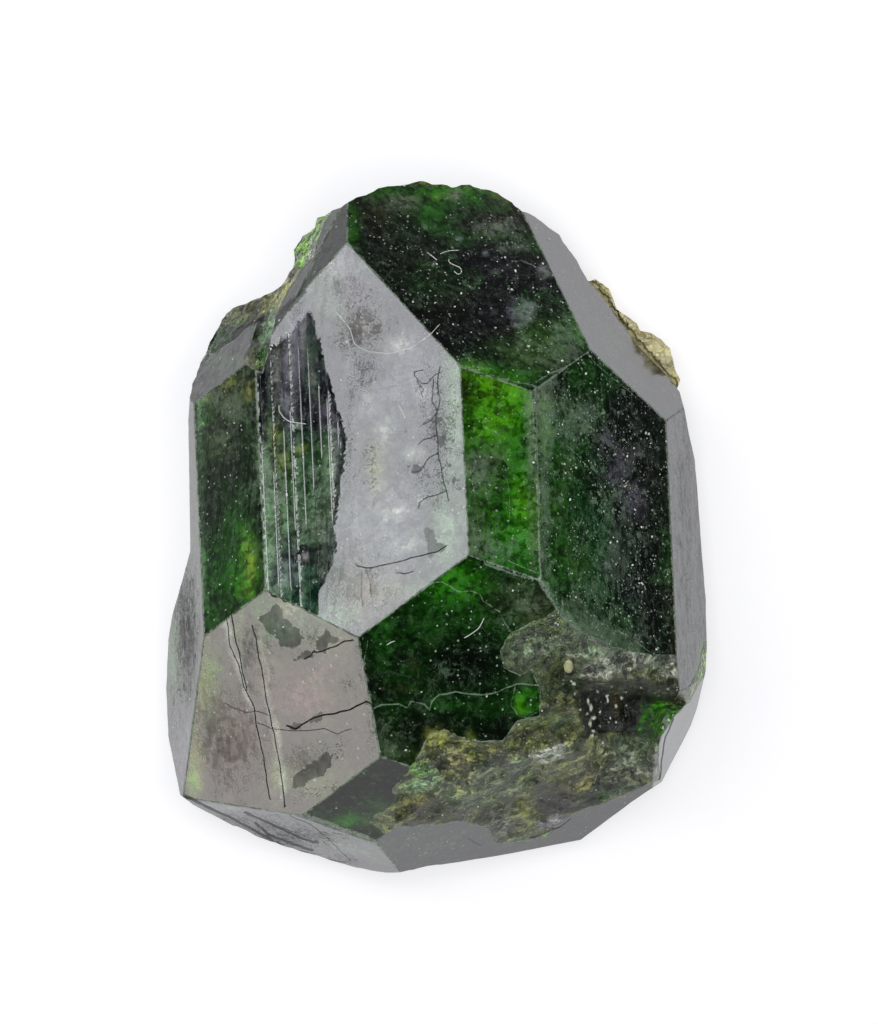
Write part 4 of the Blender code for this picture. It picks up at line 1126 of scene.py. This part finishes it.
class Shade:
    """A socket of a material's nodes; arithmetic on it adds Math nodes."""

    def __init__(self, tree, socket=None):
        self.tree = tree
        self.socket = socket

    def node(self, kind, settings=(), inputs=(), output=0):
        """Any node: its type, its settings, which come first, and its sockets' values or links."""
        made = self.tree.nodes.new(kind)
        for name, value in dict(settings).items():
            if name == "stops":
                while len(made.color_ramp.elements) < len(value):
                    made.color_ramp.elements.new(1.0)
                for stop, (place, colour) in zip(made.color_ramp.elements, value):
                    stop.position = place
                    stop.color = (*colour, 1)
            else:
                setattr(made, name, value)
        for name, value in dict(inputs).items():
            if isinstance(value, Shade):
                self.tree.links.new(value.socket, made.inputs[name])
            else:
                made.inputs[name].default_value = value
        return Shade(self.tree, None if output is None else made.outputs[output])

    def maths(self, operation, *values):
        """A Math node on numbers and sockets."""
        return self.node("ShaderNodeMath", {"operation": operation}, enumerate(values))

    def __add__(self, other):
        return self.maths("ADD", self, other)

    def __sub__(self, other):
        return self.maths("SUBTRACT", self, other)

    def __mul__(self, other):
        return self.maths("MULTIPLY", self, other)

    def __radd__(self, other):
        return self.maths("ADD", other, self)

    def __rsub__(self, other):
        return self.maths("SUBTRACT", other, self)

    def __rmul__(self, other):
        return self.maths("MULTIPLY", other, self)

    def larger(self, other):
        """The larger of two values."""
        return self.maths("MAXIMUM", self, other)

    def smaller(self, other):
        """The smaller of two values."""
        return self.maths("MINIMUM", self, other)

    def step(self, low, high, first=0.0, last=1.0):
        """Goes smoothly from first to last as the value goes from low to high."""
        names = ("Value", "From Min", "From Max", "To Min", "To Max")
        inputs = zip(names, (self, low, high, first, last))
        return self.node("ShaderNodeMapRange", {"interpolation_type": "SMOOTHSTEP"}, inputs)

    def swing(self, amount):
        """The value less a half, by an amount: noise that swings about nought."""
        return (self - 0.5) * amount

    def mixed(self, factor, first, second):
        """A colour between two, by a factor."""
        return self.node("ShaderNodeMix", {"data_type": "RGBA"}, {0: factor, 6: first, 7: second}, 2)

    def times(self, other):
        """A colour multiplied by another."""
        return self.node("ShaderNodeVectorMath", {"operation": "MULTIPLY"}, {0: self, 1: other}, 0)

    def attribute(self, name, output="Fac"):
        """What the mesh says at each corner under this name."""
        return self.node("ShaderNodeAttribute", {"attribute_name": name}, (), output)

    def scaled(self, colour, amount):
        """A colour made brighter or darker."""
        return self.node("ShaderNodeVectorMath", {"operation": "SCALE"}, {0: colour, "Scale": amount}, 0)

    def millimetres(self, stretch=(1, 1, 1), turned=0.0):
        """The object's own coordinates in millimetres, turned about Z and stretched."""
        place = self.node("ShaderNodeTexCoord", (), (), "Object")
        scale = tuple(s / 1000 for s in stretch)
        inputs = {"Vector": place, "Rotation": (0, 0, turned), "Scale": scale}
        return self.node("ShaderNodeMapping", {"vector_type": "TEXTURE"}, inputs)

    def cloud(self, place, scale, detail=3.0, roughness=0.55, distortion=0.0):
        """Noise between about 0 and 1, with the given number of lumps a millimetre."""
        names = ("Vector", "Scale", "Detail", "Roughness", "Distortion")
        inputs = zip(names, (place, scale, detail, roughness, distortion))
        return self.node("ShaderNodeTexNoise", (), inputs, "Fac")

    def cells(self, place, scale, feature="F1"):
        """The distance from the middles of scattered cells, or from their edges."""
        inputs = {"Vector": place, "Scale": scale}
        return self.node("ShaderNodeTexVoronoi", {"feature": feature}, inputs, "Distance")

    def chance(self):
        """A random number between 0 and 1 for each of the cells that this value was read from."""
        colour = Shade(self.tree, self.socket.node.outputs["Color"])
        return self.node("ShaderNodeSeparateColor", (), {0: colour}, 0)

    def bump(self, height, strength, distance):
        """Fine relief, with its height in metres."""
        inputs = {"Height": height, "Strength": strength, "Distance": distance}
        return self.node("ShaderNodeBump", (), inputs)


def new_material(name):
    """A material with nothing but its output, and a Shade for adding nodes to it."""
    material = bpy.data.materials.new(name)
    material.use_nodes = True
    for node in list(material.node_tree.nodes):
        if node.type != "OUTPUT_MATERIAL":
            material.node_tree.nodes.remove(node)
    return material, Shade(material.node_tree)


def finish_material(material, surface, volume=None):
    """Links the surface, and where given the inside, to the material's output."""
    output = next(n for n in material.node_tree.nodes if n.type == "OUTPUT_MATERIAL")
    material.node_tree.links.new(surface.socket, output.inputs["Surface"])
    if volume:
        material.node_tree.links.new(volume.socket, output.inputs["Volume"])


REFRACTIVE_INDEX = 1.88
INSIDE_GREEN = (0.22, 0.62, 0.04, 1)
SPARK = (0.30, 0.40, 0.30, 1)
FILM = (0.30, 0.40, 0.29, 1)
WORN_EDGE = (0.012, 0.045, 0.010, 1)
NICKED_EDGE = (0.42, 0.54, 0.38, 1)
HEALED = (0.44, 0.58, 0.44, 1)
SPECK_AND_GLINT = (0.66, 0.74, 0.66, 1)
# The colour of the painted glints' glow
GLINT = (0.75, 0.78, 0.70)

# The depth of the fine relief that only light shows, in metres
FACE_RELIEF = 0.00002
BREAK_RELIEF = 0.00017


def demantoid():
    """Dark green garnet, see-through by plain transmission, with the marks of its faces and breaks."""
    material, s = new_material("demantoid_crystal")
    flat_place = s.millimetres()
    along_place = s.millimetres((1, 9, 1), -0.045)
    fibre_place = s.millimetres((2.6, 1, 1), 0.35)
    ink = s.attribute("ink", "Color")
    haze, etched, specks = s.attribute("haze"), s.attribute("etched"), s.attribute("specks")
    broken, patch, edge = s.attribute("broken"), s.attribute("patch"), s.attribute("edge")
    pale, crack, dim = s.attribute("pale"), s.attribute("crack"), s.attribute("dim")
    face = 1 - broken
    cloud = s.cloud(flat_place, 1.7, 3, 0.6, 0.8)
    grain = s.cloud(flat_place, 6.0, 4, 0.65, 0.8)
    blots = s.cloud(flat_place, 3.4, 4, 0.55, 1.4)
    fine = s.cloud(flat_place, 28.0, 2, 0.6)
    streaks = s.cloud(along_place, 10.0, 3, 0.7, 0.3)
    fibres = s.cloud(fibre_place, 3.6, 6, 0.68, 0.45)
    bends = s.node("ShaderNodeTexNoise", (), {"Vector": flat_place, "Scale": 5.0, "Detail": 2.0}, "Color")
    inputs = {0: bends, 1: (0.22, 0.22, 0.22), 2: flat_place}
    bent = s.node("ShaderNodeVectorMath", {"operation": "MULTIPLY_ADD"}, inputs, 0)
    shards = s.cells(bent, 7.0).chance()
    large_cells, small_cells = s.cells(flat_place, 9.0), s.cells(flat_place, 17.0)
    slivers = small_cells.chance()
    threads = s.maths("ABSOLUTE", s.cloud(flat_place, 2.6, 3, 0.62, 1.1) - 0.5)
    curls = s.maths("ABSOLUTE", s.cloud(flat_place, 5.0, 3, 0.6, 0.9) - 0.5)
    squiggles = s.maths("ABSOLUTE", s.cloud(flat_place, 7.0, 3, 0.62, 1.6) - 0.5)

    # The inks vary from nearly black to lively, in crisp patches like light broken up inside the stone
    # and in fibres on the breaks
    stops = [
        (0.30, (0.06, 0.06, 0.06)), (0.40, (0.35, 0.35, 0.35)), (0.47, (0.62, 0.62, 0.62)),
        (0.53, (1.15, 1.15, 1.1)), (0.62, (1.6, 1.6, 1.5)), (0.74, (3.2, 3.2, 2.9)),
    ]
    patchy = grain * 0.42 + cloud * 0.25 + blots * 0.33 + shards.swing(0.16) + slivers.swing(0.07)
    strength = s.node("ShaderNodeValToRGB", {"stops": stops}, {"Fac": patchy}, "Color")
    strength = s.mixed(dim.smaller(0.75), strength, (0.9, 0.9, 0.88, 1))
    colour = ink.times(strength)
    stops = [
        (0.34, (0.04, 0.04, 0.04)), (0.43, (0.34, 0.34, 0.30)), (0.50, (1.0, 1.0, 0.95)),
        (0.57, (2.1, 2.1, 1.9)), (0.66, (4.6, 4.6, 4.2)),
    ]
    torn = fibres * 0.65 + grain * 0.35 + shards.swing(0.14) + slivers.swing(0.10) + fine.swing(0.12)
    fibrous = s.node("ShaderNodeValToRGB", {"stops": stops}, {"Fac": torn}, "Color")
    colour = s.mixed(broken, colour, ink.times(fibrous))

    # Pale threads and curls where haze lies over the dark faces, and painted sparkles, glints of light that
    # are thickest where the specks are
    thread = (0.034 - threads + fine.swing(0.04)).step(0.0, 0.03)
    thread = thread * (cloud + grain.swing(0.8)).step(0.44, 0.58)
    curl = (0.040 - curls + fine.swing(0.05)).step(0.0, 0.04)
    curl = curl * (blots + grain.swing(0.8)).step(0.50, 0.60)
    sparkle = (shards + fine.swing(0.2)).step(0.80, 0.90) * specks * grain.step(0.45, 0.6)
    calm = 1 - (dim * 1.8).smaller(1.0)
    lit = thread.larger(curl * face * 0.8) * (0.05 + haze * 1.1) * calm + sparkle * 0.55 * face
    colour = s.mixed(lit.smaller(0.8), colour, SPARK)

    # Pale scratches and films on the faces
    scratched = (streaks + haze * 0.3 + grain.swing(0.7)).step(0.64, 0.76) * haze.step(0.05, 0.5) * 0.6
    veil = haze * 1.0 + blots.swing(1.8) * haze + grain.swing(1.6) * haze + fine.swing(0.6) * haze
    film = scratched.larger(veil.step(0.35, 0.95) * 0.8) * face
    colour = s.mixed(film * 0.45, colour, FILM)

    # Chipped edges of the faces: dark green lines, pale where they are nicked
    worn = (0.026 + grain.swing(0.05) + fine.swing(0.03) - edge).step(0.0, 0.014)
    nick = (blots + fine.swing(0.5)).step(0.47, 0.53)
    worn_colour = s.mixed(nick, WORN_EDGE, NICKED_EDGE)
    colour = s.mixed(worn * 0.85, colour, worn_colour)

    # Dark etched patches, blotches and cracks
    patched = (patch + grain.swing(0.22) + blots.swing(0.14) + fine.swing(0.05)).step(-0.01, 0.01)
    blotch = etched * 0.62 + grain.swing(1.5) + blots.swing(0.9) + fine.swing(0.6) - 0.28
    blotch = blotch.step(0.0, 0.16) * etched.step(0.02, 0.25) * face
    line = (crack * 1.1 + fine.swing(0.9) + grain.swing(0.6)).step(0.25, 0.6) * crack.step(0.05, 0.2)
    tone = (grain * 0.9 + streaks * 0.5 + fine * 0.4 + blots * 0.6 - 0.9).step(0.0, 0.6)
    squiggle = (etched * 0.055 - squiggles + fine.swing(0.03)).step(-0.008, 0.012)
    squiggle = squiggle * etched.step(0.0, 0.1) * face
    smear = (grain * 0.6 + blots * 0.4 + fine.swing(0.4)).step(0.53, 0.66) * face * 0.26
    dull = (patched * 0.75).larger(blotch * tone * 0.7).larger(line).larger(smear)
    dull = dull.larger(etched * broken * 0.7).larger(squiggle * (0.6 + tone * 0.4))
    colour = s.mixed(dull, colour, s.scaled(colour, 0.22))

    # White specks, of dust and of painted glints off small pits, the painted glints of the broken corner,
    # and the pale healed fissures
    speck_and_glint = (0.08 + fine * 0.27 - large_cells).step(0.0, 0.05)
    speck_and_glint = speck_and_glint * (large_cells.chance() + specks * 0.75 - 0.92).step(0.0, 0.02)
    healed = pale + fine.swing(1.3) + grain.swing(1.6) + blots.swing(0.9) - 0.38
    healed = healed.step(0.0, 0.40) * pale.step(0.05, 0.3)
    small = (0.10 + fine * 0.3 - small_cells).step(0.0, 0.08)
    speck_and_glint = speck_and_glint.larger(small * (slivers + specks * 0.30 - 0.95).step(0.0, 0.02) * 0.6)
    # Painted glints in the broken corner: white, and glowing a little by emission
    glint = (s.attribute("glint") + fine.swing(1.4)).step(0.45, 0.85)
    colour = s.mixed(healed * 0.7, colour, HEALED)
    colour = s.mixed((speck_and_glint * 0.95).larger(glint), colour, SPECK_AND_GLINT)

    mottle = (streaks * 0.6 + blots * 0.5 + fine.swing(0.3) - 0.35).step(0.0, 0.55)
    roughness = 0.04 + mottle * 0.17 * face + dim * (0.6 + mottle * 0.8) * 0.38 + film * 0.16
    roughness = roughness + worn * 0.35 + dull * dull * 0.48 + broken * (0.10 + fibres * 0.2)
    normal = s.bump(streaks * 0.20 + grain * 0.16, 0.35, FACE_RELIEF)
    rough_normal = s.bump(fibres * 0.9 + fine * 0.10 + grain * 0.55, 1.0, BREAK_RELIEF)
    inputs = {0: broken, 4: normal, 5: rough_normal}
    mixed_normal = s.node("ShaderNodeMix", {"data_type": "VECTOR"}, inputs, 1)
    sockets = {
        "Base Color": colour, "Roughness": roughness, "Normal": mixed_normal, "IOR": REFRACTIVE_INDEX,
        "Emission Color": s.scaled(GLINT, glint), "Emission Strength": 0.5, "Transmission Weight": 0.55,
    }
    surface = s.node("ShaderNodeBsdfPrincipled", (), sockets)
    inputs = {"Color": INSIDE_GREEN, "Density": 1 / MM}
    absorption = s.node("ShaderNodeVolumeAbsorption", (), inputs)
    finish_material(material, surface, absorption)
    material.cycles.emission_sampling = "NONE"
    return material


garnet.data.materials.append(demantoid())
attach(garnet, "root")
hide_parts("crystal")

# The rind of matrix: pale yellow and cream grains on a grey-brown base, still clinging to the broken
# underside behind the upper right edge. It is rough all over, and where the crystal sits on it, it is low.

# Its heights over the table, and lower still under the crystal, with a gap between the two
CRUST_BOTTOM = 0.08
CRUST_TOP = 0.90
CRUST_CEILING = 0.52
GAP = 0.06

# The mesh's spacing, and the spacing and sizes of the grains
CRUST_GRAIN = 0.045
GRAIN_SPACING = 0.17
GRAIN_SIZES = (0.06, 0.13)
crystal_room = pushed_out(RIM, GAP)
crust_edge = []
for x, y in evenly(CRUST_EDGE, 0.05, True):
    inward = [0.02 * abs(noise.noise((x * 6, y * 6, seed))) for seed in (1, 4)]
    crust_edge.append((x - inward[0], y - inward[1]))
step_line = evenly(crystal_room, 0.05, True)
crust_loose = scatter(crust_edge, CRUST_GRAIN, tree_of(crust_edge + step_line), 5.5)
crust_flat, crust_triangles, _ = triangulate(crust_edge, [(step_line, True)], crust_loose)
kx, ky = crust_flat.T
under_crystal = inside(crystal_room, kx, ky)

# Each place of the rind belongs to the nearest of its grains
far_off = (9, 9)
grain_middles = np.array(scatter(CRUST_EDGE, GRAIN_SPACING, tree_of([far_off]), 6.1))
to_grain = np.hypot(kx[:, None] - grain_middles[:, 0], ky[:, None] - grain_middles[:, 1])
nearest_grain = to_grain.argmin(axis=1)
grain_size = np.random.default_rng(12).uniform(*GRAIN_SIZES, len(grain_middles))[nearest_grain]
lump = np.sqrt(np.clip(1 - (to_grain.min(axis=1) / grain_size) ** 2, 0, 1)) * grain_size
crust_z = CRUST_TOP + 0.30 * rough(kx, ky, 0.42, 47.0, 2) - 0.12 + lump * 1.1
crust_z = np.clip(crust_z + 0.03 * rough(kx, ky, 0.08, 3.0), 0.3, 1.12)
crust_z[under_crystal] = np.minimum(crust_z[under_crystal], CRUST_CEILING - 0.02)
crust_low = CRUST_BOTTOM + 0.08 * abs(rough(kx, ky, 0.4, 3.0))

# Its top and underside are the same flat mesh at two heights, with a wall between their boundaries
number = len(kx)
crust_shell = crust_triangles.tolist() + (crust_triangles[:, [0, 2, 1]] + number).tolist()
for a, b in sorted(boundary(crust_triangles)):
    crust_shell += [(a, a + number, b + number), (a, b + number, b)]
crust_places = np.concatenate([np.column_stack([kx, ky, z]) for z in (crust_z, crust_low)])
crust_used, crust_shell = np.unique(np.array(crust_shell), return_inverse=True)
crust_mesh = bpy.data.meshes.new("matrix_rind")
crust_mesh.from_pydata((crust_places[crust_used] * MM).tolist(), [], crust_shell.reshape(-1, 3).tolist())
rind = placed("matrix_rind", crust_mesh)


EARTH_BROWN = (0.16, 0.14, 0.09, 1)
CREVICE_BROWN = (0.14, 0.11, 0.06, 1)


def matrix_rock(name, pale_colour, deep_colour, brown_share, crevices):
    """Rough earthy grains of mixed colour."""
    material, s = new_material(name)
    place = s.millimetres()
    grains = s.cells(place, 5.0).chance()
    cloud = s.cloud(place, 2.6, 4)
    fine = s.cloud(place, 22.0, 4, 0.65)
    crevice = s.cells(place, 5.0, "DISTANCE_TO_EDGE")
    deep = (grains * 0.5 + cloud * 0.9 + fine.swing(0.3) - 0.4).step(0.1, 0.7)
    colour = s.mixed(deep, pale_colour, deep_colour)
    brown = (cloud + fine.swing(0.5)).step(0.62 - brown_share, 0.75 - brown_share)
    colour = s.mixed(brown, colour, EARTH_BROWN)
    hollow = crevice.step(0.0, 0.07, crevices, 0.0) * fine.step(0.35, 0.6)
    colour = s.mixed(hollow, colour, CREVICE_BROWN)
    normal = s.bump(fine * 0.5 + crevice.step(0.0, 0.15) * crevices, 0.9, 0.00003)
    sockets = {"Base Color": colour, "Roughness": 0.6 + fine * 0.35, "Normal": normal}
    finish_material(material, s.node("ShaderNodeBsdfPrincipled", (), sockets))
    return material


PALE_YELLOW = (0.88, 0.82, 0.50, 1)
OCHRE = (0.52, 0.46, 0.22, 1)
rind.data.materials.append(matrix_rock("matrix_rind", PALE_YELLOW, OCHRE, 0.02, 0.5))
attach(rind, "root")
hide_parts("matrix_crust")

# The cream grain: one smooth rounded crumb of the matrix, wedged in the broken corner beside the ledge.

GRAIN_HALF = (0.104, 0.138, 0.092)
CREAM = (0.56, 0.55, 0.33, 1)
GREENISH_CREAM = (0.34, 0.36, 0.17, 1)
grain_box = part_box("matrix_grain")
grain_middle = (Vector(grain_box[0]) + Vector(grain_box[1])) / 2
grain_mesh = bpy.data.meshes.new("cream_grain")
bm = bmesh.new()
bmesh.ops.create_icosphere(bm, subdivisions=5, radius=1.0)
for vert in bm.verts:
    way = vert.co.copy()
    lump = 0.92 + 0.13 * noise.fractal(way * 1.3, 0.9, 2.0, 3) + 0.012 * noise.noise(way * 7)
    vert.co = grain_middle + Vector(h * c * lump * MM for h, c in zip(GRAIN_HALF, way))
bm.to_mesh(grain_mesh)
bm.free()
for face in grain_mesh.polygons:
    face.use_smooth = True
grain = placed("cream_grain", grain_mesh)
grain.data.materials.append(matrix_rock("cream_matrix_grain", CREAM, GREENISH_CREAM, -0.3, 0.0))
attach(grain, "root")
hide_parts("matrix_grain")

# Dust: pale mineral crumbs and household dust, which lie on the faces and catch in the breaks. They are
# thickest on the dark right and top faces.

DUST_SMALLEST = 0.005
DUST_LARGEST = 0.040
DUST_DENSITY = 1.4e7  # crumbs a square metre where the faces' specks say 1
DUST_PALE = (0.90, 0.92, 0.88, 1)
DUST_DARK = (0.14, 0.20, 0.14, 1)


def grown_tree(name, numbers):
    """A Geometry Nodes tree with a geometry input and output and its named inputs."""
    tree = bpy.data.node_groups.new(name, "GeometryNodeTree")
    tree.interface.new_socket("Geometry", in_out="INPUT", socket_type="NodeSocketGeometry")
    tree.interface.new_socket("Geometry", in_out="OUTPUT", socket_type="NodeSocketGeometry")
    for label, kind in numbers:
        tree.interface.new_socket(label, in_out="INPUT", socket_type=kind)
    source = Shade(tree).node("NodeGroupInput")
    return tree, {socket.name: Shade(tree, socket) for socket in source.socket.node.outputs}


def grown(name, mesh, tree, values):
    """A plain mesh made by a tree from a starting mesh, with the tree's inputs set."""
    carrier = placed(name + "_carrier", mesh)
    modifier = carrier.modifiers.new("grow", "NODES")
    modifier.node_group = tree
    for socket in tree.interface.items_tree:
        if socket.in_out == "INPUT" and socket.name in values:
            modifier[socket.identifier] = values[socket.name]
    depsgraph = bpy.context.evaluated_depsgraph_get()
    made = bpy.data.meshes.new_from_object(carrier.evaluated_get(depsgraph))
    bpy.data.objects.remove(carrier, do_unlink=True)
    made.name = name
    return placed(name, made)


numbers = [
    ("Grains a square metre", "NodeSocketFloat"), ("Smallest", "NodeSocketFloat"),
    ("Largest", "NodeSocketFloat"), ("Seed", "NodeSocketInt"), ("Material", "NodeSocketMaterial"),
]
dust_tree, g = grown_tree("dust_on_faces", numbers)
n = Shade(dust_tree)
share = n.node("GeometryNodeInputNamedAttribute", {"data_type": "FLOAT"}, {"Name": "specks"}, "Attribute")
density = share * g["Grains a square metre"]
inputs = {"Mesh": g["Geometry"], "Density": density, "Seed": g["Seed"]}
settings = {"distribute_method": "RANDOM"}
scattered = n.node("GeometryNodeDistributePointsOnFaces", settings, inputs, "Points")
crumb = n.node("GeometryNodeMeshIcoSphere", (), {"Radius": 1.0, "Subdivisions": 1}, "Mesh")
spread = n.node("FunctionNodeRandomValue", {"data_type": "FLOAT"}, {2: 0.0, 3: 1.0, "Seed": 3}, 1)
size = g["Smallest"] + (g["Largest"] - g["Smallest"]) * spread * spread * spread * spread * spread
inputs = {0: (0, 0, 0), 1: (6.28, 6.28, 6.28), "Seed": 5}
random_turn = n.node("FunctionNodeRandomValue", {"data_type": "FLOAT_VECTOR"}, inputs, 0)
flatter = n.node("ShaderNodeCombineXYZ", (), {0: size, 1: size * 0.8, 2: size * 0.6})
inputs = {"Points": scattered, "Instance": crumb, "Rotation": random_turn, "Scale": flatter}
crumbs = n.node("GeometryNodeInstanceOnPoints", (), inputs, "Instances")
real = n.node("GeometryNodeRealizeInstances", (), {"Geometry": crumbs})
finished = n.node("GeometryNodeSetMaterial", (), {"Geometry": real, "Material": g["Material"]})
n.node("NodeGroupOutput", (), {"Geometry": finished}, None)


def dust_material():
    """Crumbs from pale to dark green, each of one colour."""
    material, s = new_material("pale_dust")
    place = s.millimetres()
    tone = s.cells(place, 9.0).chance()
    colour = s.mixed(tone * tone, DUST_PALE, DUST_DARK)
    normal = s.bump(s.cloud(place, 90.0, 2), 0.5, 0.000004)
    sockets = {"Base Color": colour, "Roughness": 0.45 + tone * 0.3, "Normal": normal}
    finish_material(material, s.node("ShaderNodeBsdfPrincipled", (), sockets))
    return material


# The dust falls on the crystal's upper side alone, as thickly as its specks say
upper = bpy.data.meshes.new("upper_faces")
top_ids, top_shell = np.unique(shell[:top_count], return_inverse=True)
upper.from_pydata((places[top_ids] * MM).tolist(), [], top_shell.reshape(-1, 3).tolist())
attribute = upper.attributes.new("specks", "FLOAT", "CORNER")
attribute.data.foreach_set("value", look["specks"][:top_count * 3].astype(np.float32))
dust = grown("dust", upper, dust_tree, {
    "Grains a square metre": DUST_DENSITY, "Smallest": DUST_SMALLEST * MM,
    "Largest": DUST_LARGEST * MM, "Seed": 11, "Material": dust_material(),
})
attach(dust, "root")

# Lint: a few pale textile fibres, each thinner than a hair, that lie where they fell on the faces.

LINT_RADIUS = 0.008
LINT_GREY = (0.62, 0.64, 0.62, 1)
LINT_PALE = (0.85, 0.86, 0.84, 1)
LINT = [
    "336,312 350,329 354,343 360,348 369,352 390,354 411,348 428,337 440,324",
    "427,252 432,256 437,260",
    "440,254 447,251 459,250",
    "449,259 448,262 454,265 461,268 462,273 458,275 454,271",
    "464,638 468,636 472,633 478,629 481,625 484,618",
    "387,645 391,642 395,641",
    "279,405 279,411 284,418 290,422 300,423 306,424",
    "398,405 402,410 405,418",
]


def fibre(line, radius, sides=6):
    """A thin tube along a line on the faces."""
    line = evenly(line, 0.03, waver=0.006, seed=2.0)
    xs, ys = (np.array(c) for c in zip(*line))
    for _ in range(3):
        xs[1:-1] = (xs[:-2] + 2 * xs[1:-1] + xs[2:]) / 4
        ys[1:-1] = (ys[:-2] + 2 * ys[1:-1] + ys[2:]) / 4
    zs = face_heights(xs, ys).min(axis=0) + radius * 0.9
    points = [Vector(p) for p in zip(xs, ys, zs)]
    verts, faces = [], []
    for i, point in enumerate(points):
        way = (points[min(i + 1, len(points) - 1)] - points[max(i - 1, 0)]).normalized()
        side = way.cross(Vector((0, 0, 1))).normalized()
        up = side.cross(way)
        thick = radius * (0.5 if i in (0, len(points) - 1) else 1.0)
        for k in range(sides):
            angle = 2 * math.pi * k / sides
            verts.append((point + (side * math.cos(angle) + up * math.sin(angle)) * thick) * MM)
    for i in range(len(points) - 1):
        for k in range(sides):
            n = (k + 1) % sides
            faces.append((i * sides + n, i * sides + k, (i + 1) * sides + k, (i + 1) * sides + n))
    faces.append(tuple(range(sides)))
    faces.append(tuple(reversed(range(len(verts) - sides, len(verts)))))
    return verts, faces


lint_verts, lint_faces = [], []
for line in LINT:
    verts, faces = fibre(drawn(line), LINT_RADIUS)
    lint_faces += [tuple(i + len(lint_verts) for i in face) for face in faces]
    lint_verts += verts
lint_mesh = bpy.data.meshes.new("lint")
lint_mesh.from_pydata(lint_verts, [], lint_faces)
lint = placed("lint", lint_mesh)
material, s = new_material("pale_lint")
tone = s.cloud(s.millimetres(), 20.0, 2)
colour = s.mixed(tone, LINT_GREY, LINT_PALE)
sockets = {"Base Color": colour, "Roughness": 0.5 + tone * 0.2}
finish_material(material, s.node("ShaderNodeBsdfPrincipled", (), sockets))
lint.data.materials.append(material)
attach(lint, "root")

# The floor: a plain pale table under plain soft studio light. It glows a little round the crystal, and
# no further out, so that the picture is white there and the low faces have something dark to mirror.

TABLE_HALF = 0.6
TABLE_GREY = (0.38, 0.38, 0.39, 1)
GLOW = (0.70, 0.70, 0.72, 1)
DARK_ROOM = (0.02, 0.02, 0.022, 1)
floor_mesh = bpy.data.meshes.new("table")
floor_corners = [(x * TABLE_HALF, y * TABLE_HALF, 0) for x, y in ((-1, -1), (1, -1), (1, 1), (-1, 1))]
floor_mesh.from_pydata(floor_corners, [], [(0, 1, 2, 3)])
table = placed("table", floor_mesh)
material, s = new_material("pale_table")
place = s.node("ShaderNodeTexCoord", (), (), "Object")
far = s.node("ShaderNodeVectorMath", {"operation": "LENGTH"}, {0: place}, "Value")
lit = far.step(0.0135, 0.060, 1.0, 0.0)
glowing = s.mixed(lit, DARK_ROOM, GLOW)
sockets = {
    "Base Color": TABLE_GREY, "Roughness": 0.6, "Emission Color": glowing, "Emission Strength": 1.0,
}
finish_material(material, s.node("ShaderNodeBsdfPrincipled", (), sockets))
table.data.materials.append(material)


LIGHT_DISTANCE = 0.065
CRYSTAL_MIDDLE = Vector((0, 0, 0.004))


def softbox(name, towards, half_angle, radiance, colour=(1, 1, 1)):
    """A square soft light seen from the crystal in one direction, facing it, with a given brightness."""
    side = 2 * LIGHT_DISTANCE * math.tan(math.radians(half_angle))
    light = bpy.data.lights.new(name, "AREA")
    light.shape = "SQUARE"
    light.size = side
    light.energy = radiance * math.pi * side * side
    light.color = colour
    lamp = placed(name, light)
    direction = Vector(towards).normalized()
    lamp.location = CRYSTAL_MIDDLE + direction * LIGHT_DISTANCE
    lamp.visible_camera = False
    lamp.rotation_mode = "QUATERNION"
    lamp.rotation_quaternion = (-direction).to_track_quat("-Z", "Y")


# Each light is mirrored by the faces that it is named for
COOL = (0.95, 0.96, 1.0)
WARM = (1.0, 0.95, 0.93)
softbox("light_front_face", (-0.40, 0.28, 0.88), 17, 3.6, COOL)
softbox("light_overhead", (0.10, -0.02, 1.0), 15, 6.0)
softbox("light_cracked_face", (-0.781, -0.56, 0.30), 13, 2.7, WARM)
softbox("light_low_face", (-0.173, -0.984, 0.08), 9, 0.6)

world = bpy.data.worlds.new("studio")
world.use_nodes = True
world.node_tree.nodes["Background"].inputs["Color"].default_value = DARK_ROOM
world.node_tree.nodes["Background"].inputs["Strength"].default_value = 1.0
bpy.context.scene.world = world
bpy.context.scene.view_settings.view_transform = "Standard"

# The camera looks straight down, as in the photo, and sees no perspective
VIEW_HEIGHT = 0.02048
CAMERA_PLACE = (0.00005, 0.00028, 0.045)
lens = bpy.data.cameras.new("camera")
lens.type = "ORTHO"
lens.ortho_scale = VIEW_HEIGHT
lens.clip_start = 0.001
lens.clip_end = 2.0
camera = placed("camera", lens)
camera.location = CAMERA_PLACE
bpy.context.scene.camera = camera
